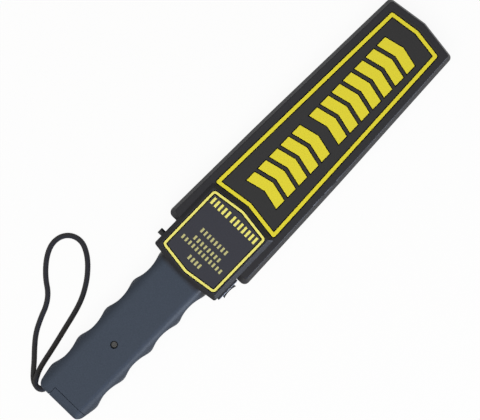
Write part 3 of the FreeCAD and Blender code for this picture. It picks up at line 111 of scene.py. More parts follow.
def add(tree, kind, inputs=None, **settings):
    """Adds a node to a tree, with its properties, and the values or links of its inputs."""
    node = tree.nodes.new(kind)
    for name, value in settings.items():
        setattr(node, name, value)
    for name, value in (inputs or {}).items():
        if isinstance(value, bpy.types.NodeSocket):
            tree.links.new(value, node.inputs[name])
        else:
            node.inputs[name].default_value = value
    return node


# Settings that a user would change

def colour(name, description, hex_colour):
    return bpy.props.FloatVectorProperty(
        name=name,
        description=description,
        default=linear(hex_colour),
        size=4,
        min=0.0,
        max=1.0,
        subtype="COLOR",
    )


def distance(name, description, default):
    return bpy.props.FloatProperty(
        name=name,
        description=description,
        default=default,
        min=0.0,
        unit="LENGTH",
    )


def number(name, description, default):
    return bpy.props.FloatProperty(name=name, description=description, default=default)


class CaseSettings(bpy.types.PropertyGroup):
    grip_colour: colour("Grip colour", "Charcoal of the moulded grip", "#444C59")
    body_colour: colour("Body colour", "Charcoal of the paddle and the control block", "#353538")
    grain: distance("Grain", "Size of the eroded texture moulded into the case", 0.0009)
    grain_depth: distance("Grain depth", "Depth of that texture", 0.000022)
    blend_start: bpy.props.FloatProperty(
        name="Grip top", description="Where the grip's colour begins", default=-0.0700, unit="LENGTH"
    )


class LabelSettings(bpy.types.PropertyGroup):
    film_colour: colour("Film colour", "Charcoal background of the large film", "#3B3B3C")
    small_film_colour: colour("Small film colour", "Charcoal background of the control label", "#41424A")
    large_ink: colour("Large label ink", "Yellow of the paddle's label", "#ECE03F")
    small_ink: colour("Small label ink", "Paler yellow of the control label", "#F7F080")
    marks_ink: colour("Marks ink", "Duller ink of the small marks", "#C6C288")
    keyline_ink: colour("Keyline ink", "Black edge round the yellow print", "#0B0B0D")
    ink_thickness: distance("Ink thickness", "Height of each printed layer", 0.00003)
    keyline: distance("Keyline", "How far the black shows beside the yellow", 0.0008)
    large_frame: distance("Large frame line", "Width of the yellow frame on the paddle", 0.0028)
    small_frame: distance("Small frame line", "Width of the yellow frame on the control block", 0.0019)


class StrapSettings(bpy.types.PropertyGroup):
    cord_colour: colour("Cord colour", "Black polyester yarn", "#14110F")
    diameter: distance("Diameter", "Diameter over the braid", 0.0045)
    carriers: bpy.props.IntProperty(
        name="Strands each way", description="Strands that run one way round", default=8
    )
    relief: distance("Relief", "Depth between neighbouring strands", 0.00028)


class StageSettings(bpy.types.PropertyGroup):
    floor_colour: colour("Floor colour", "Plain pale floor", "#F4F4F4")
    bounce_colour: colour("Floor bounce", "The floor as it lights the object from below", "#3C3C3E")
    camera_height: distance("Camera height", "Height of the camera above the floor", 1.6)
    focal_length: number("Focal length", "In millimetres", 151.4)
    key_power: number("Key light", "In watts", 25.0)
    side_power: number("Side light", "In watts, in reflections only", 20.0)
    fill_strength: number("Fill", "Strength of the room's light", 0.17)


# Materials

def new_material(name):
    """An empty material with its Principled shader, its tree and an Object coordinate socket."""
    material = bpy.data.materials.new(name)
    material.use_nodes = True
    tree = material.node_tree
    shader = tree.nodes["Principled BSDF"]
    place = add(tree, "ShaderNodeTexCoord").outputs["Object"]
    return material, tree, shader, place


def textured_abs(case):
    """Moulded ABS with a spark-eroded texture: a soft, broad sheen that breaks up into fine grain."""
    blend_length = 0.004
    mottle_scale = 90.0
    material, tree, shader, place = new_material("textured_abs")
    axes = add(tree, "ShaderNodeSeparateXYZ", {"Vector": place})
    along = add(tree, "ShaderNodeMapRange", {
        "Value": axes.outputs["Y"],
        "From Min": case.blend_start,
        "From Max": case.blend_start + blend_length,
    })
    base = add(tree, "ShaderNodeMix", {
        "Factor": along.outputs["Result"],
        "A": case.grip_colour,
        "B": case.body_colour,
    }, data_type="RGBA")
    # The real texture is about 0.1 mm; it is drawn at 0.9 mm, the finest that shows from in front
    grain = add(tree, "ShaderNodeTexNoise", {"Vector": place, "Scale": 1 / case.grain, "Detail": 3.0})
    mottle = add(tree, "ShaderNodeTexNoise", {"Vector": place, "Scale": mottle_scale, "Detail": 4.0})
    shade = add(tree, "ShaderNodeMapRange", {"Value": grain.outputs["Fac"], "To Min": 0.80, "To Max": 1.20})
    tint = add(tree, "ShaderNodeVectorMath", {
        0: base.outputs["Result"], "Scale": shade.outputs["Result"],
    }, operation="SCALE")
    # The grip is satin; the paddle and the block come from a smoother mould
    satin = add(tree, "ShaderNodeMapRange", {
        "Value": along.outputs["Result"], "To Min": 0.50, "To Max": 0.42,
    })
    worn = add(tree, "ShaderNodeMapRange", {"Value": mottle.outputs["Fac"], "To Min": 0.90, "To Max": 1.10})
    rough = add(tree, "ShaderNodeMath", {
        0: satin.outputs["Result"], 1: worn.outputs["Result"],
    }, operation="MULTIPLY")
    bump = add(tree, "ShaderNodeBump", {"Height": grain.outputs["Fac"], "Distance": case.grain_depth})
    tree.links.new(tint.outputs["Vector"], shader.inputs["Base Color"])
    tree.links.new(rough.outputs["Value"], shader.inputs["Roughness"])
    tree.links.new(bump.outputs["Normal"], shader.inputs["Normal"])
    shader.inputs["IOR"].default_value = 1.53
    # A low level: the fine texture scatters most of the mirrored light, so the plastic stays dark
    shader.inputs["Specular IOR Level"].default_value = 0.06
    return material


def grained(name, hue, roughness, grain, depth, contrast=0.10, metallic=0.0, ior=1.5, spread=0.06, gloss=0.5):
    """A surface with one fine grain in its colour, roughness and height, which most of the finishes share."""
    material, tree, shader, place = new_material(name)
    speck = add(tree, "ShaderNodeTexNoise", {"Vector": place, "Scale": 1 / grain, "Detail": 4.0})
    shade = add(tree, "ShaderNodeMapRange", {
        "Value": speck.outputs["Fac"], "To Min": 1 - contrast, "To Max": 1 + contrast,
    })
    base = add(tree, "ShaderNodeVectorMath", {
        0: hue[:3], "Scale": shade.outputs["Result"],
    }, operation="SCALE")
    rough = add(tree, "ShaderNodeMapRange", {
        "Value": speck.outputs["Fac"], "To Min": roughness - spread, "To Max": roughness + spread,
    })
    bump = add(tree, "ShaderNodeBump", {"Height": speck.outputs["Fac"], "Distance": depth})
    tree.links.new(base.outputs["Vector"], shader.inputs["Base Color"])
    tree.links.new(rough.outputs["Result"], shader.inputs["Roughness"])
    tree.links.new(bump.outputs["Normal"], shader.inputs["Normal"])
    shader.inputs["Metallic"].default_value = metallic
    shader.inputs["IOR"].default_value = ior
    shader.inputs["Specular IOR Level"].default_value = gloss
    return material


def dress(node, material):
    """Gives a CAD node one material."""
    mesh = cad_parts[node].data
    mesh.materials.clear()
    mesh.materials.append(material)


# Mesh tools

def new_piece(name, verts, faces, material, body="housing"):
    """A finished mesh piece, at the origin, that rides on a body."""
    mesh = bpy.data.meshes.new(name)
    mesh.from_pydata([tuple(v) for v in verts], [], faces)
    mesh.validate()
    mesh.materials.append(material)
    piece = bpy.data.objects.new(name, mesh)
    bpy.context.scene.collection.objects.link(piece)
    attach(piece, body)
    return piece


def inset_loop(corners, inset):
    """The corners of a closed outline, listed anticlockwise, after each side moves inwards."""
    lines = []
    for corner, following in zip(corners, corners[1:] + corners[:1]):
        start, end = Vector(corner), Vector(following)
        along = (end - start).normalized()
        lines.append((start + Vector((-along.y, along.x)) * inset, along))
    moved = []
    for (p, d), (q, e) in zip(lines[-1:] + lines[:-1], lines):
        reach = ((q - p).x * e.y - (q - p).y * e.x) / (d.x * e.y - d.y * e.x)
        moved.append(p + d * reach)
    return moved


def rounded_loop(corners, radius, inset, steps=6):
    """Points along a closed outline with every corner rounded, after an inset."""
    points = inset_loop(corners, inset)
    loop = []
    for before, corner, after in zip(points[-1:] + points[:-1], points, points[1:] + points[:1]):
        back, ahead = (before - corner).normalized(), (after - corner).normalized()
        half_turn = (math.pi - back.angle(ahead)) / 2
        outward = (corner - before).cross(after - corner) > 0
        bend = max(radius - inset, radius / 4) if outward else radius + inset
        tangent = bend * math.tan(half_turn)
        centre = corner + (back + ahead).normalized() * (bend / math.cos(half_turn))
        start, end = corner + back * tangent - centre, corner + ahead * tangent - centre
        swing = start.angle_signed(end)
        for k in range(steps + 1):
            turn = -swing * k / steps
            spun = Vector((
                start.x * math.cos(turn) - start.y * math.sin(turn),
                start.x * math.sin(turn) + start.y * math.cos(turn),
            ))
            loop.append(centre + spun)
    return loop


def printed_frame(name, corners, radius, width, low_z, high_z, material, spread=0.0):
    """A closed printed line with its outer edge on an outline, wider by spread on each side."""
    outer = rounded_loop(corners, radius, -spread)
    inner = rounded_loop(corners, radius, width + spread)
    count = len(outer)
    verts = [(p.x, p.y, z) for z in (low_z, high_z) for loop in (outer, inner) for p in loop]
    faces = []
    for i in range(count):
        j = (i + 1) % count
        faces += [
            (i, i + count, j + count, j),
            (i + 2 * count, j + 2 * count, j + 3 * count, i + 3 * count),
            (i, j, j + 2 * count, i + 2 * count),
            (i + count, i + 3 * count, j + 3 * count, j + count),
        ]
    return new_piece(name, verts, faces, material)


def bar_row_tree():
    """Geometry Nodes that repeat one chevron-shaped bar along a line."""
    tree = bpy.data.node_groups.new("bar_row", "GeometryNodeTree")
    sockets = (
        ("Count", "NodeSocketInt"),
        ("Start", "NodeSocketVector"),
        ("Step", "NodeSocketVector"),
        ("Size", "NodeSocketVector"),
        ("Slope", "NodeSocketFloat"),
        ("Ink", "NodeSocketMaterial"),
    )
    for name, kind in sockets:
        tree.interface.new_socket(name, in_out="INPUT", socket_type=kind)
    tree.interface.new_socket("Geometry", in_out="OUTPUT", socket_type="NodeSocketGeometry")
    given = add(tree, "NodeGroupInput").outputs
    bar = add(tree, "GeometryNodeMeshCube", {
        "Size": given["Size"], "Vertices X": 3, "Vertices Y": 2, "Vertices Z": 2,
    })
    position = add(tree, "GeometryNodeInputPosition")
    axes = add(tree, "ShaderNodeSeparateXYZ", {"Vector": position.outputs["Position"]})
    across = add(tree, "ShaderNodeMath", {0: axes.outputs["X"]}, operation="ABSOLUTE")
    fall = add(tree, "ShaderNodeMath", {0: across.outputs["Value"], 1: given["Slope"]}, operation="MULTIPLY")
    drop = add(tree, "ShaderNodeMath", {0: 0.0, 1: fall.outputs["Value"]}, operation="SUBTRACT")
    shift = add(tree, "ShaderNodeCombineXYZ", {"Y": drop.outputs["Value"]})
    shaped = add(tree, "GeometryNodeSetPosition", {
        "Geometry": bar.outputs["Mesh"], "Offset": shift.outputs["Vector"],
    })
    line = add(tree, "GeometryNodeMeshLine", {
        "Count": given["Count"], "Start Location": given["Start"], "Offset": given["Step"],
    }, mode="OFFSET")
    spread = add(tree, "GeometryNodeInstanceOnPoints", {
        "Points": line.outputs["Mesh"], "Instance": shaped.outputs["Geometry"],
    })
    real = add(tree, "GeometryNodeRealizeInstances", {"Geometry": spread.outputs["Instances"]})
    inked = add(tree, "GeometryNodeSetMaterial", {
        "Geometry": real.outputs["Geometry"], "Material": given["Ink"],
    })
    add(tree, "NodeGroupOutput", {"Geometry": inked.outputs["Geometry"]})
    return tree


def plain_mesh(holder, name):
    """The evaluated result of an object's modifiers as one plain piece."""
    graph = bpy.context.evaluated_depsgraph_get()
    mesh = bpy.data.meshes.new_from_object(holder.evaluated_get(graph))
    holder.modifiers.clear()
    bpy.data.objects.remove(holder)
    mesh.name = name
    piece = bpy.data.objects.new(name, mesh)
    bpy.context.scene.collection.objects.link(piece)
    return piece


def bar_row(name, tree, ink, values):
    """A row of printed bars on the housing, made by the tree."""
    holder = bpy.data.objects.new(name + "_maker", bpy.data.meshes.new(name + "_maker"))
    bpy.context.scene.collection.objects.link(holder)
    modifier = holder.modifiers.new("bars", "NODES")
    modifier.node_group = tree
    sockets = {item.name: item.identifier for item in tree.interface.items_tree if item.in_out == "INPUT"}
    for socket, value in values.items():
        modifier[sockets[socket]] = value
    modifier[sockets["Ink"]] = ink
    piece = plain_mesh(holder, name)
    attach(piece, "housing")
    return piece


# Operators: one for each group of pieces, and one for the stage

class WAND_OT_set_stage(bpy.types.Operator):
    """Floor, soft light and a camera straight above the wand, at the photograph's angle"""

    bl_idname = "wand.set_stage"
    bl_label = "Set the stage"

    def execute(self, context):
        stage = context.scene.wand_stage
        camera = bpy.data.objects.new("camera", bpy.data.cameras.new("camera"))
        camera.data.lens = stage.focal_length
        camera.data.clip_end = 20.0
        # The wand's axis runs from the lower left of the picture to its upper right
        camera.location = (-0.00257, 0.00085, stage.camera_height)
        camera.rotation_euler = (0.0, 0.0, math.radians(44.09))
        context.scene.collection.objects.link(camera)
        context.scene.camera = camera
        floor_mesh = bpy.data.meshes.new("floor")
        reach, low = 4.0, -0.0003
        corners = [(-reach, -reach, low), (reach, -reach, low), (reach, reach, low), (-reach, reach, low)]
        floor_mesh.from_pydata(corners, [], [(0, 1, 2, 3)])
        floor = bpy.data.objects.new("floor", floor_mesh)
        context.scene.collection.objects.link(floor)
        floor_mesh.materials.append(self.floor_paint(stage))
        # The key light gives the colours and is left out of the reflections
        key_place, key_size = (0.20, -0.35, 1.76), (1.1, 1.0)
        key = self.add_light(context, "key_light", key_place, key_size, stage.key_power, "#FFFDF8")
        key.visible_glossy = False
        # The cards are seen in reflections only: they draw the bright lines along the right-hand edges
        for name, place, size, power, tint in (
            ("paddle_card", (0.55, 0.06, 0.12), (0.60, 0.20), 0.9 * stage.side_power, "#DCE8FF"),
            ("grip_card", (0.50, -0.27, 0.70), (0.34, 0.30), 0.22 * stage.side_power, "#5C98FF"),
        ):
            card = self.add_light(context, name, place, size, power, tint)
            card.visible_diffuse = False
        context.scene.world = self.room(stage)
        context.scene.view_settings.view_transform = "Standard"
        return {"FINISHED"}

    @staticmethod
    def floor_paint(stage):
        """Matt paint: white with a soft shadow where it is seen, and darker in the light it scatters."""
        # The rest of the floor's brightness is paint, which holds the shadow
        glow_share = 0.93
        material, tree, shader, _ = new_material("pale_floor")
        shader.inputs["Roughness"].default_value = 0.9
        seen = WAND_OT_set_stage.background_share(tree)
        paint = add(tree, "ShaderNodeMix", {
            "Factor": seen, "A": stage.bounce_colour, "B": stage.floor_colour,
        }, data_type="RGBA")
        tree.links.new(paint.outputs["Result"], shader.inputs["Base Color"])
        share = add(tree, "ShaderNodeMath", {0: seen, 1: glow_share}, operation="MULTIPLY")
        glow = add(tree, "ShaderNodeEmission", {"Color": (1, 1, 1, 1), "Strength": 1.0})
        mix = add(tree, "ShaderNodeMixShader", {
            "Fac": share.outputs["Value"], 1: shader.outputs["BSDF"], 2: glow.outputs["Emission"],
        })
        tree.links.new(mix.outputs["Shader"], tree.nodes["Material Output"].inputs["Surface"])
        return material

    @staticmethod
    def add_light(context, name, place, size, power, hex_colour):
        """An area light that faces the wand."""
        data = bpy.data.lights.new(name, "AREA")
        data.shape = "RECTANGLE"
        data.size, data.size_y = size
        data.energy = power
        data.color = linear(hex_colour)[:3]
        light = bpy.data.objects.new(name, data)
        light.location = place
        light.rotation_euler = (-Vector(place)).to_track_quat("-Z", "Y").to_euler()
        light.visible_camera = False
        context.scene.collection.objects.link(light)
        return light

    @staticmethod
    def background_share(tree):
        """One for a ray that sees the white background: from the camera, in a reflection or through glass."""
        path = add(tree, "ShaderNodeLightPath")
        mirrored = add(tree, "ShaderNodeMath", {
            0: path.outputs["Is Glossy Ray"], 1: path.outputs["Is Transmission Ray"],
        }, operation="MAXIMUM")
        return add(tree, "ShaderNodeMath", {
            0: path.outputs["Is Camera Ray"], 1: mirrored.outputs["Value"],
        }, operation="MAXIMUM").outputs["Value"]

    @staticmethod
    def room(stage):
        """An even room: it lights the object by its strength and shows as white behind it."""
        world = bpy.data.worlds.new("room")
        world.use_nodes = True
        tree = world.node_tree
        strength = add(tree, "ShaderNodeMapRange", {
            "Value": WAND_OT_set_stage.background_share(tree), "To Min": stage.fill_strength, "To Max": 1.0,
        })
        back = tree.nodes["Background"]
        back.inputs["Color"].default_value = (1, 1, 1, 1)
        tree.links.new(strength.outputs["Result"], back.inputs["Strength"])
        return world


class WAND_OT_make_strap(bpy.types.Operator):
    """The wrist strap: a braided cord that follows its route in one smooth curve"""

    bl_idname = "wand.make_strap"
    bl_label = "Make the strap"

    def execute(self, context):
        strap = context.scene.wand_strap
        path = self.route_points()
        piece = self.braid(strap, path)
        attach(piece, "housing")
        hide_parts("strap_cord")
        return {"FINISHED"}

    @staticmethod
    def route_points():
        """Closely spaced points on the NURBS curve that the route's points draw along."""
        curve = bpy.data.curves.new("strap_route", "CURVE")
        curve.dimensions = "3D"
        curve.resolution_u = 36
        spline = curve.splines.new("NURBS")
        spline.points.add(len(strap_route) - 1)
        for point, place in zip(spline.points, strap_route):
            point.co = (*place, 1.0)
        spline.order_u = 3
        spline.use_endpoint_u = True
        holder = bpy.data.objects.new("strap_route", curve)
        bpy.context.scene.collection.objects.link(holder)
        graph = bpy.context.evaluated_depsgraph_get()
        mesh = bpy.data.meshes.new_from_object(holder.evaluated_get(graph))
        path = np.array([v.co for v in mesh.vertices])
        bpy.data.objects.remove(holder)
        bpy.data.meshes.remove(mesh)
        return path

    @staticmethod
    def braid(strap, path):
        """A tube whose surface rises over each strand of a two-way braid."""
        points_per_strand = 6
        around = points_per_strand * strap.carriers
        steps = np.diff(path, axis=0)
        lengths = np.linalg.norm(steps, axis=1)
        travelled = np.concatenate([[0.0], np.cumsum(lengths)])
        tangents = np.zeros_like(path)
        tangents[:-1] += steps / lengths[:, None]
        tangents[1:] += steps / lengths[:, None]
        tangents /= np.linalg.norm(tangents, axis=1)[:, None]
        side = np.cross(tangents[0], (0.0, 0.0, 1.0))
        side /= np.linalg.norm(side)
        radius = strap.diameter / 2
        pitch = 2 * math.pi * radius / strap.carriers
        angles = np.arange(around) * 2 * math.pi / around
        rings, crest = [], []
        for place, tangent, s in zip(path, tangents, travelled):
            side -= tangent * side.dot(tangent)
            side /= np.linalg.norm(side)
            up = np.cross(tangent, side)
            one_way = strap.carriers * angles / (2 * math.pi) + s / pitch
            other_way = strap.carriers * angles / (2 * math.pi) - s / pitch
            over = (np.floor(one_way) + np.floor(other_way)) % 2 == 0
            top = np.where(over, one_way, other_way) % 1.0
            under = np.where(over, other_way, one_way) % 1.0
            height = np.sqrt(np.clip(1 - (2 * top - 1) ** 2, 0, 1)) * (0.4 + 0.6 * np.sin(math.pi * under))
            reach = radius - strap.relief * (1 - height)
            across, upwards = reach * np.cos(angles), reach * np.sin(angles)
            rings.append(place + np.outer(across, side) + np.outer(upwards, up))
            crest.append(height)
        count = len(rings)
        faces = []
        for i in range(count - 1):
            for j in range(around):
                k = (j + 1) % around
                faces.append((i * around + j, i * around + k, (i + 1) * around + k, (i + 1) * around + j))
        faces.append(tuple(range(around))[::-1])
        faces.append(tuple((count - 1) * around + j for j in range(around)))
        mesh = bpy.data.meshes.new("wrist_strap")
        mesh.from_pydata(np.concatenate(rings).tolist(), [], faces)
        # The strand heights also set the painted shade in the cord's colour
        layer = mesh.attributes.new("strand_height", "FLOAT", "POINT")
        layer.data.foreach_set("value", np.concatenate(crest).astype(np.float32))
        mesh.shade_smooth()
        mesh.materials.append(braided_polyester(strap))
        piece = bpy.data.objects.new("wrist_strap", mesh)
        bpy.context.scene.collection.objects.link(piece)
        tidy = bmesh.new()
        tidy.from_mesh(mesh)
        bmesh.ops.recalc_face_normals(tidy, faces=tidy.faces)
        tidy.to_mesh(mesh)
        tidy.free()
        return piece


def braided_polyester(strap):
    """Braided polyester yarn: dull black with a faint sheen on each strand, and painted shade in its colour:
    darker in the gaps between strands and lighter on their crests.
    """
    fibre_scale, fibre_depth = 3000.0, 0.00005
    material, tree, shader, place = new_material("braided_polyester")
    strand = add(tree, "ShaderNodeAttribute", attribute_name="strand_height")
    fibre = add(tree, "ShaderNodeTexNoise", {"Vector": place, "Scale": fibre_scale, "Detail": 2.0})
    # Painted shade: the colour falls to 35% in the gaps between strands and rises to 115% on their crests
    painted_gap_shade = add(tree, "ShaderNodeMapRange", {"Value": strand.outputs["Fac"], "To Min": 0.35, "To Max": 1.15})
    speck = add(tree, "ShaderNodeMapRange", {"Value": fibre.outputs["Fac"], "To Min": 0.75, "To Max": 1.25})
    shade = add(tree, "ShaderNodeMath", {
        0: painted_gap_shade.outputs["Result"], 1: speck.outputs["Result"],
    }, operation="MULTIPLY")
    base = add(tree, "ShaderNodeVectorMath", {
        0: strap.cord_colour[:3], "Scale": shade.outputs["Value"],
    }, operation="SCALE")
    bump = add(tree, "ShaderNodeBump", {"Height": fibre.outputs["Fac"], "Distance": fibre_depth})
    tree.links.new(base.outputs["Vector"], shader.inputs["Base Color"])
    tree.links.new(bump.outputs["Normal"], shader.inputs["Normal"])
    shader.inputs["Roughness"].default_value = 0.7
    shader.inputs["Sheen Weight"].default_value = 0.08
    shader.inputs["Sheen Roughness"].default_value = 0.5
    return material


class WAND_OT_finish_case(bpy.types.Operator):
    """Textured plastic on the two housing halves and the battery cover"""

    bl_idname = "wand.finish_case"
    bl_label = "Finish the case"

    def execute(self, context):
        case = context.scene.wand_case
        plastic = textured_abs(case)
        for node in ("front_housing", "rear_housing", "battery_cover"):
            dress(node, plastic)
        self.seam_lip(plastic)
        return {"FINISHED"}

    @staticmethod
    def seam_lip(plastic):
        """A thin lip on the housing that closes the cover's seam to the light."""
        low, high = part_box("battery_cover")
        seam, clear, thick, inside = 0.0004, 0.0001, 0.0018, 0.006
        left_x, right_x = low.x - seam - clear, low.x - clear
        low_y, high_y = low.y + 2 * clear, low.y + thick
        verts = [
            (x, y, z)
            for z in (low.z + inside, high.z - inside)
            for x, y in ((left_x, low_y), (right_x, low_y), (right_x, high_y), (left_x, high_y))
        ]
        faces = [(3, 2, 1, 0), (4, 5, 6, 7)] + [(i, (i + 1) % 4, (i + 1) % 4 + 4, i + 4) for i in range(4)]
        new_piece("seam_lip", verts, faces, plastic)


class WAND_OT_print_labels(bpy.types.Operator):
    """The films and their printing: chevron-ended frames and rows of bars"""

    bl_idname = "wand.print_labels"
    bl_label = "Print the labels"

    def execute(self, context):
        label = context.scene.wand_label
        for name, hue, nodes in (
            ("matt_polycarbonate_film", label.film_colour, ("paddle_label", "rear_label")),
            ("matt_polycarbonate_film_small", label.small_film_colour, ("control_label",)),
        ):
            # Matt polycarbonate film: even and dark, with hardly any mirrored light
            film = grained(name, hue, roughness=0.46, grain=0.0010, depth=0.00001, contrast=0.14, gloss=0.03)
            for node in nodes:
                dress(node, film)
        # Screen-printed inks: flat colour with a little unevenness where the mesh left it thinner
        yellow, pale, dull, black = (
            grained(name, hue, roughness, grain=0.0012, depth=0.00001, contrast=contrast, gloss=gloss)
            for name, hue, roughness, contrast, gloss in (
                ("yellow_screen_ink", label.large_ink, 0.46, 0.05, 0.05),
                ("pale_yellow_screen_ink", label.small_ink, 0.46, 0.05, 0.05),
                ("dull_screen_ink", label.marks_ink, 0.46, 0.08, 0.05),
                ("black_screen_ink", label.keyline_ink, 0.50, 0.15, 0.03),
            )
        )
        rise = label.ink_thickness
        for name, corners, radius, width, z, ink in (
            ("large_frame", self.large_corners(), 0.0016, label.large_frame, large_film_z, yellow),
            ("small_frame", self.small_corners(), 0.0030, label.small_frame, small_film_z, pale),
        ):
            printed_frame(name + "_keyline", corners, radius, width, z, z + rise, black, label.keyline)
            printed_frame(name, corners, radius, width, z + rise, z + 2 * rise, ink)
        rear = self.rear_corners()
        printed_frame("rear_frame", rear, 0.0016, label.small_frame, rear_film_z - rise, rear_film_z, yellow)
        tree = bar_row_tree()
        self.large_bars(label, tree, yellow, black)
        self.small_bars(label, tree, pale, dull)
        return {"FINISHED"}

    @staticmethod
    def chevron_frame(base_half, base_y, tip_half, tip_y):
        """A frame's outer corners: straight sides, a chevron at the tip and one cut into the base."""
        shoulder_y = tip_y - chevron_slope * tip_half
        return [
            (base_half, base_y),
            (tip_half, shoulder_y),
            (0.0, tip_y),
            (-tip_half, shoulder_y),
            (-base_half, base_y),
            (0.0, base_y + chevron_slope * base_half),
        ]

    def large_corners(self):
        return self.chevron_frame(base_half=0.0312, base_y=0.0032, tip_half=0.0246, tip_y=0.1957)

    def rear_corners(self):
        return self.chevron_frame(base_half=0.0275, base_y=0.0280, tip_half=0.0215, tip_y=0.1930)

    @staticmethod
    def small_corners():
        half, top_y, low_y = 0.0275, 0.0020, -0.0630
        rise = half * chevron_slope
        return [
            (0.0, low_y),
            (half, low_y + rise),
            (half, top_y - rise),
            (0.0, top_y),
            (-half, top_y - rise),
            (-half, low_y + rise),
        ]

    @staticmethod
    def large_bars(label, tree, yellow, black):
        """Two columns of chevron bars, one above the other, that point to the tip."""
        rise, spread = label.ink_thickness, 2 * label.keyline
        centre_x, width, thick, step, slope = 0.0010, 0.0318, 0.0088, 0.0126, 0.24
        for name, count, first_y in (("lower_bars", 5, 0.0292), ("upper_bars", 7, 0.0985)):
            for suffix, grow, level, ink in (("_keyline", spread, 0, black), ("", 0.0, 1, yellow)):
                bar_row(name + suffix, tree, ink, {
                    "Count": count,
                    "Start": (centre_x, first_y, large_film_z + (level + 0.5) * rise),
                    "Step": (0.0, step, 0.0),
                    "Size": (width + grow, thick + grow, rise),
                    "Slope": slope,
                })

    @staticmethod
    def small_bars(label, tree, pale, dull):
        """Rows of small bars on the control label: level marks above, graduations below."""
        rise = label.ink_thickness
        # Name, ink, count, first bar's X and Y, step, and a bar's width and height
        rows = (
            ("level_marks_left", pale, 5, -0.0222, -0.0082, 0.0039, 0.0020, 0.0060),
            ("level_marks_right", pale, 7, -0.0012, -0.0082, 0.0039, 0.0020, 0.0060),
            ("graduations_upper", dull, 8, -0.0125, -0.0306, 0.0036, 0.0017, 0.0040),
            ("graduations_middle", dull, 8, -0.0125, -0.0384, 0.0036, 0.0017, 0.0036),
            ("graduations_lower", dull, 12, -0.0200, -0.0440, 0.0036, 0.0017, 0.0036),
            ("graduations_last", dull, 4, -0.0053, -0.0522, 0.0035, 0.0018, 0.0040),
        )
        for name, ink, count, first_x, y, step, width, height in rows:
            bar_row(name, tree, ink, {
                "Count": count,
                "Start": (first_x, y, small_film_z + 0.5 * rise),
                "Step": (step, 0.0, 0.0),
                "Size": (width, height, rise),
                "Slope": 0.0,
            })


class WAND_OT_finish_controls(bpy.types.Operator):
    """The rocker switch, the push button, the case screws and the indicator lamps"""

    bl_idname = "wand.finish_controls"
    bl_label = "Finish the controls"

    def execute(self, context):
        # Moulded nylon: black and smooth, with a tighter highlight than the case
        nylon = grained(
            "moulded_nylon", linear("#141518"), roughness=0.30, grain=0.0008, depth=0.00001, contrast=0.12
        )
        for node in ("switch_body", "rocker", "push_button"):
            dress(node, nylon)
        # Blackened steel: dark metal, with a fine grain that spreads its reflections
        steel = grained(
            "blackened_steel", linear("#4E4D4A"), roughness=0.34, grain=0.0006, depth=0.00002, metallic=0.5
        )
        for node in ("case_screws", "board_screws", "motor_clip", "trimmer_rotor", "vibration_motor"):
            dress(node, steel)
        # Cast acrylic lenses: deep even colour under a glassy skin
        lamps = (("battery_lamp", "#D98A1E"), ("power_lamp", "#2FA64A"), ("alarm_lamp", "#C8231C"))
        for node, hex_colour in lamps:
            acrylic = grained(
                node + "_acrylic",
                linear(hex_colour),
                roughness=0.12,
                grain=0.0008,
                depth=0.0,
                contrast=0.06,
                ior=1.49,
            )
            dress(node, acrylic)
        return {"FINISHED"}


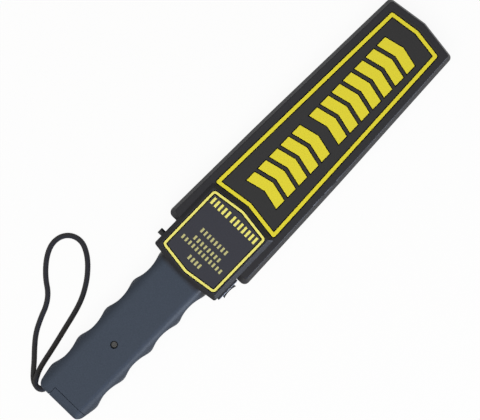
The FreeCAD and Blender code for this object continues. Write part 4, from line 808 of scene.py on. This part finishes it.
class WAND_OT_finish_inside(bpy.types.Operator):
    """The parts inside the case: coil, circuit board, battery, buzzer, motor and wires"""

    bl_idname = "wand.finish_inside"
    bl_label = "Finish the inside"

    def execute(self, context):
        # Name, colour, roughness, metallic and nodes of each finish
        finishes = (
            # Cream plastic with a dull, even shine
            ("moulded_polystyrene", "#C9C6BA", 0.50, 0.0, ("coil_former",)),
            # Reddish metal under clear enamel: a bright line along each bundle of wire
            ("enamelled_copper", "#B4632C", 0.28, 1.0, ("coil_winding", "inductor_winding", "coil_leads")),
            # Green lacquer over glass cloth: smooth and rather shiny
            ("glass_fibre_laminate", "#1F6B3C", 0.35, 0.0, ("circuit_board",)),
            # Dull black, with hardly any highlight
            ("moulded_epoxy", "#1C1C1E", 0.55, 0.0, ("chips", "transistors", "button_switch")),
            # Dark grey ceramic, matt like slate
            ("pressed_ferrite", "#3A3A3C", 0.60, 0.0, ("inductor_core",)),
            # Blue shrink sleeve: soft streak of light down each can
            ("sleeved_aluminium_can", "#3D4C78", 0.35, 0.0, ("electrolytic_capacitors",)),
            # Ochre resin that ran smooth as it set: small sharp highlights
            ("dipped_epoxy", "#BF7A1C", 0.25, 0.0, ("film_capacitors",)),
            # Tan lacquer, half gloss
            ("lacquered_ceramic", "#C8A878", 0.40, 0.0, ("resistors",)),
            # Clean blue plastic, half gloss
            ("moulded_polyester", "#2454A8", 0.40, 0.0, ("trimmer_body",)),
            # Milky off-white plastic
            ("natural_nylon", "#E4E0D2", 0.45, 0.0, ("board_headers",)),
            # Near black, with a clear highlight
            ("moulded_phenolic", "#121214", 0.35, 0.0, ("buzzer_case", "battery_snap", "strap_stop")),
            # Soft black rubber that takes the light evenly
            ("neoprene", "#18181A", 0.80, 0.0, ("buzzer_gasket", "battery_pad")),
            # Warm yellow metal, lightly brushed
            ("brass", "#C29A4E", 0.30, 1.0, ("eccentric_weight", "switch_blades")),
            # Bright grey wire
            ("spring_steel", "#A8A8A6", 0.25, 1.0, ("button_spring",)),
            # Bronze-coloured print under varnish on thin sheet
            ("lithographed_steel", "#6B5424", 0.30, 0.0, ("battery_jacket",)),
            # Dark film with a slight shine
            ("cell_wrap_film", "#3A3C40", 0.45, 0.0, ("battery_cells",)),
            # Pale, warm and mirror-like
            ("nickel_plate", "#C4C2BA", 0.22, 1.0, ("battery_studs",)),
            # Red wire insulation, slightly waxy
            ("red_pvc", "#A81E1E", 0.45, 0.0, ("red_lead", "switch_leads")),
            # Black wire insulation, slightly waxy
            ("black_pvc", "#17171A", 0.45, 0.0, ("black_lead", "motor_leads", "buzzer_leads")),
        )
        for name, hex_colour, roughness, metallic, nodes in finishes:
            hue = linear(hex_colour)
            material = grained(name, hue, roughness, grain=0.0009, depth=0.00001, metallic=metallic)
            for node in nodes:
                dress(node, material)
        return {"FINISHED"}


class WAND_PT_panel(bpy.types.Panel):
    """Lists the steps and their settings"""

    bl_label = "Metal detector wand"
    bl_idname = "WAND_PT_panel"
    bl_space_type = "VIEW_3D"
    bl_region_type = "UI"
    bl_category = "Wand"

    def draw(self, context):
        for operator in operators:
            self.layout.operator(operator.bl_idname)
        for name in groups:
            settings = getattr(context.scene, name)
            for key in settings.__annotations__:
                self.layout.prop(settings, key)


operators = (
    WAND_OT_set_stage,
    WAND_OT_make_strap,
    WAND_OT_finish_case,
    WAND_OT_print_labels,
    WAND_OT_finish_controls,
    WAND_OT_finish_inside,
)
groups = {
    "wand_case": CaseSettings,
    "wand_label": LabelSettings,
    "wand_strap": StrapSettings,
    "wand_stage": StageSettings,
}


def register():
    for cls in (*groups.values(), *operators, WAND_PT_panel):
        bpy.utils.register_class(cls)
    for name, group in groups.items():
        setattr(bpy.types.Scene, name, bpy.props.PointerProperty(type=group))


def unregister():
    for name in groups:
        delattr(bpy.types.Scene, name)
    for cls in reversed((*groups.values(), *operators, WAND_PT_panel)):
        bpy.utils.unregister_class(cls)


def main():
    """Makes every piece."""
    register()
    bpy.ops.wand.set_stage()
    bpy.ops.wand.make_strap()
    bpy.ops.wand.finish_case()
    bpy.ops.wand.print_labels()
    bpy.ops.wand.finish_controls()
    bpy.ops.wand.finish_inside()


if __name__ == "__main__":
    main()
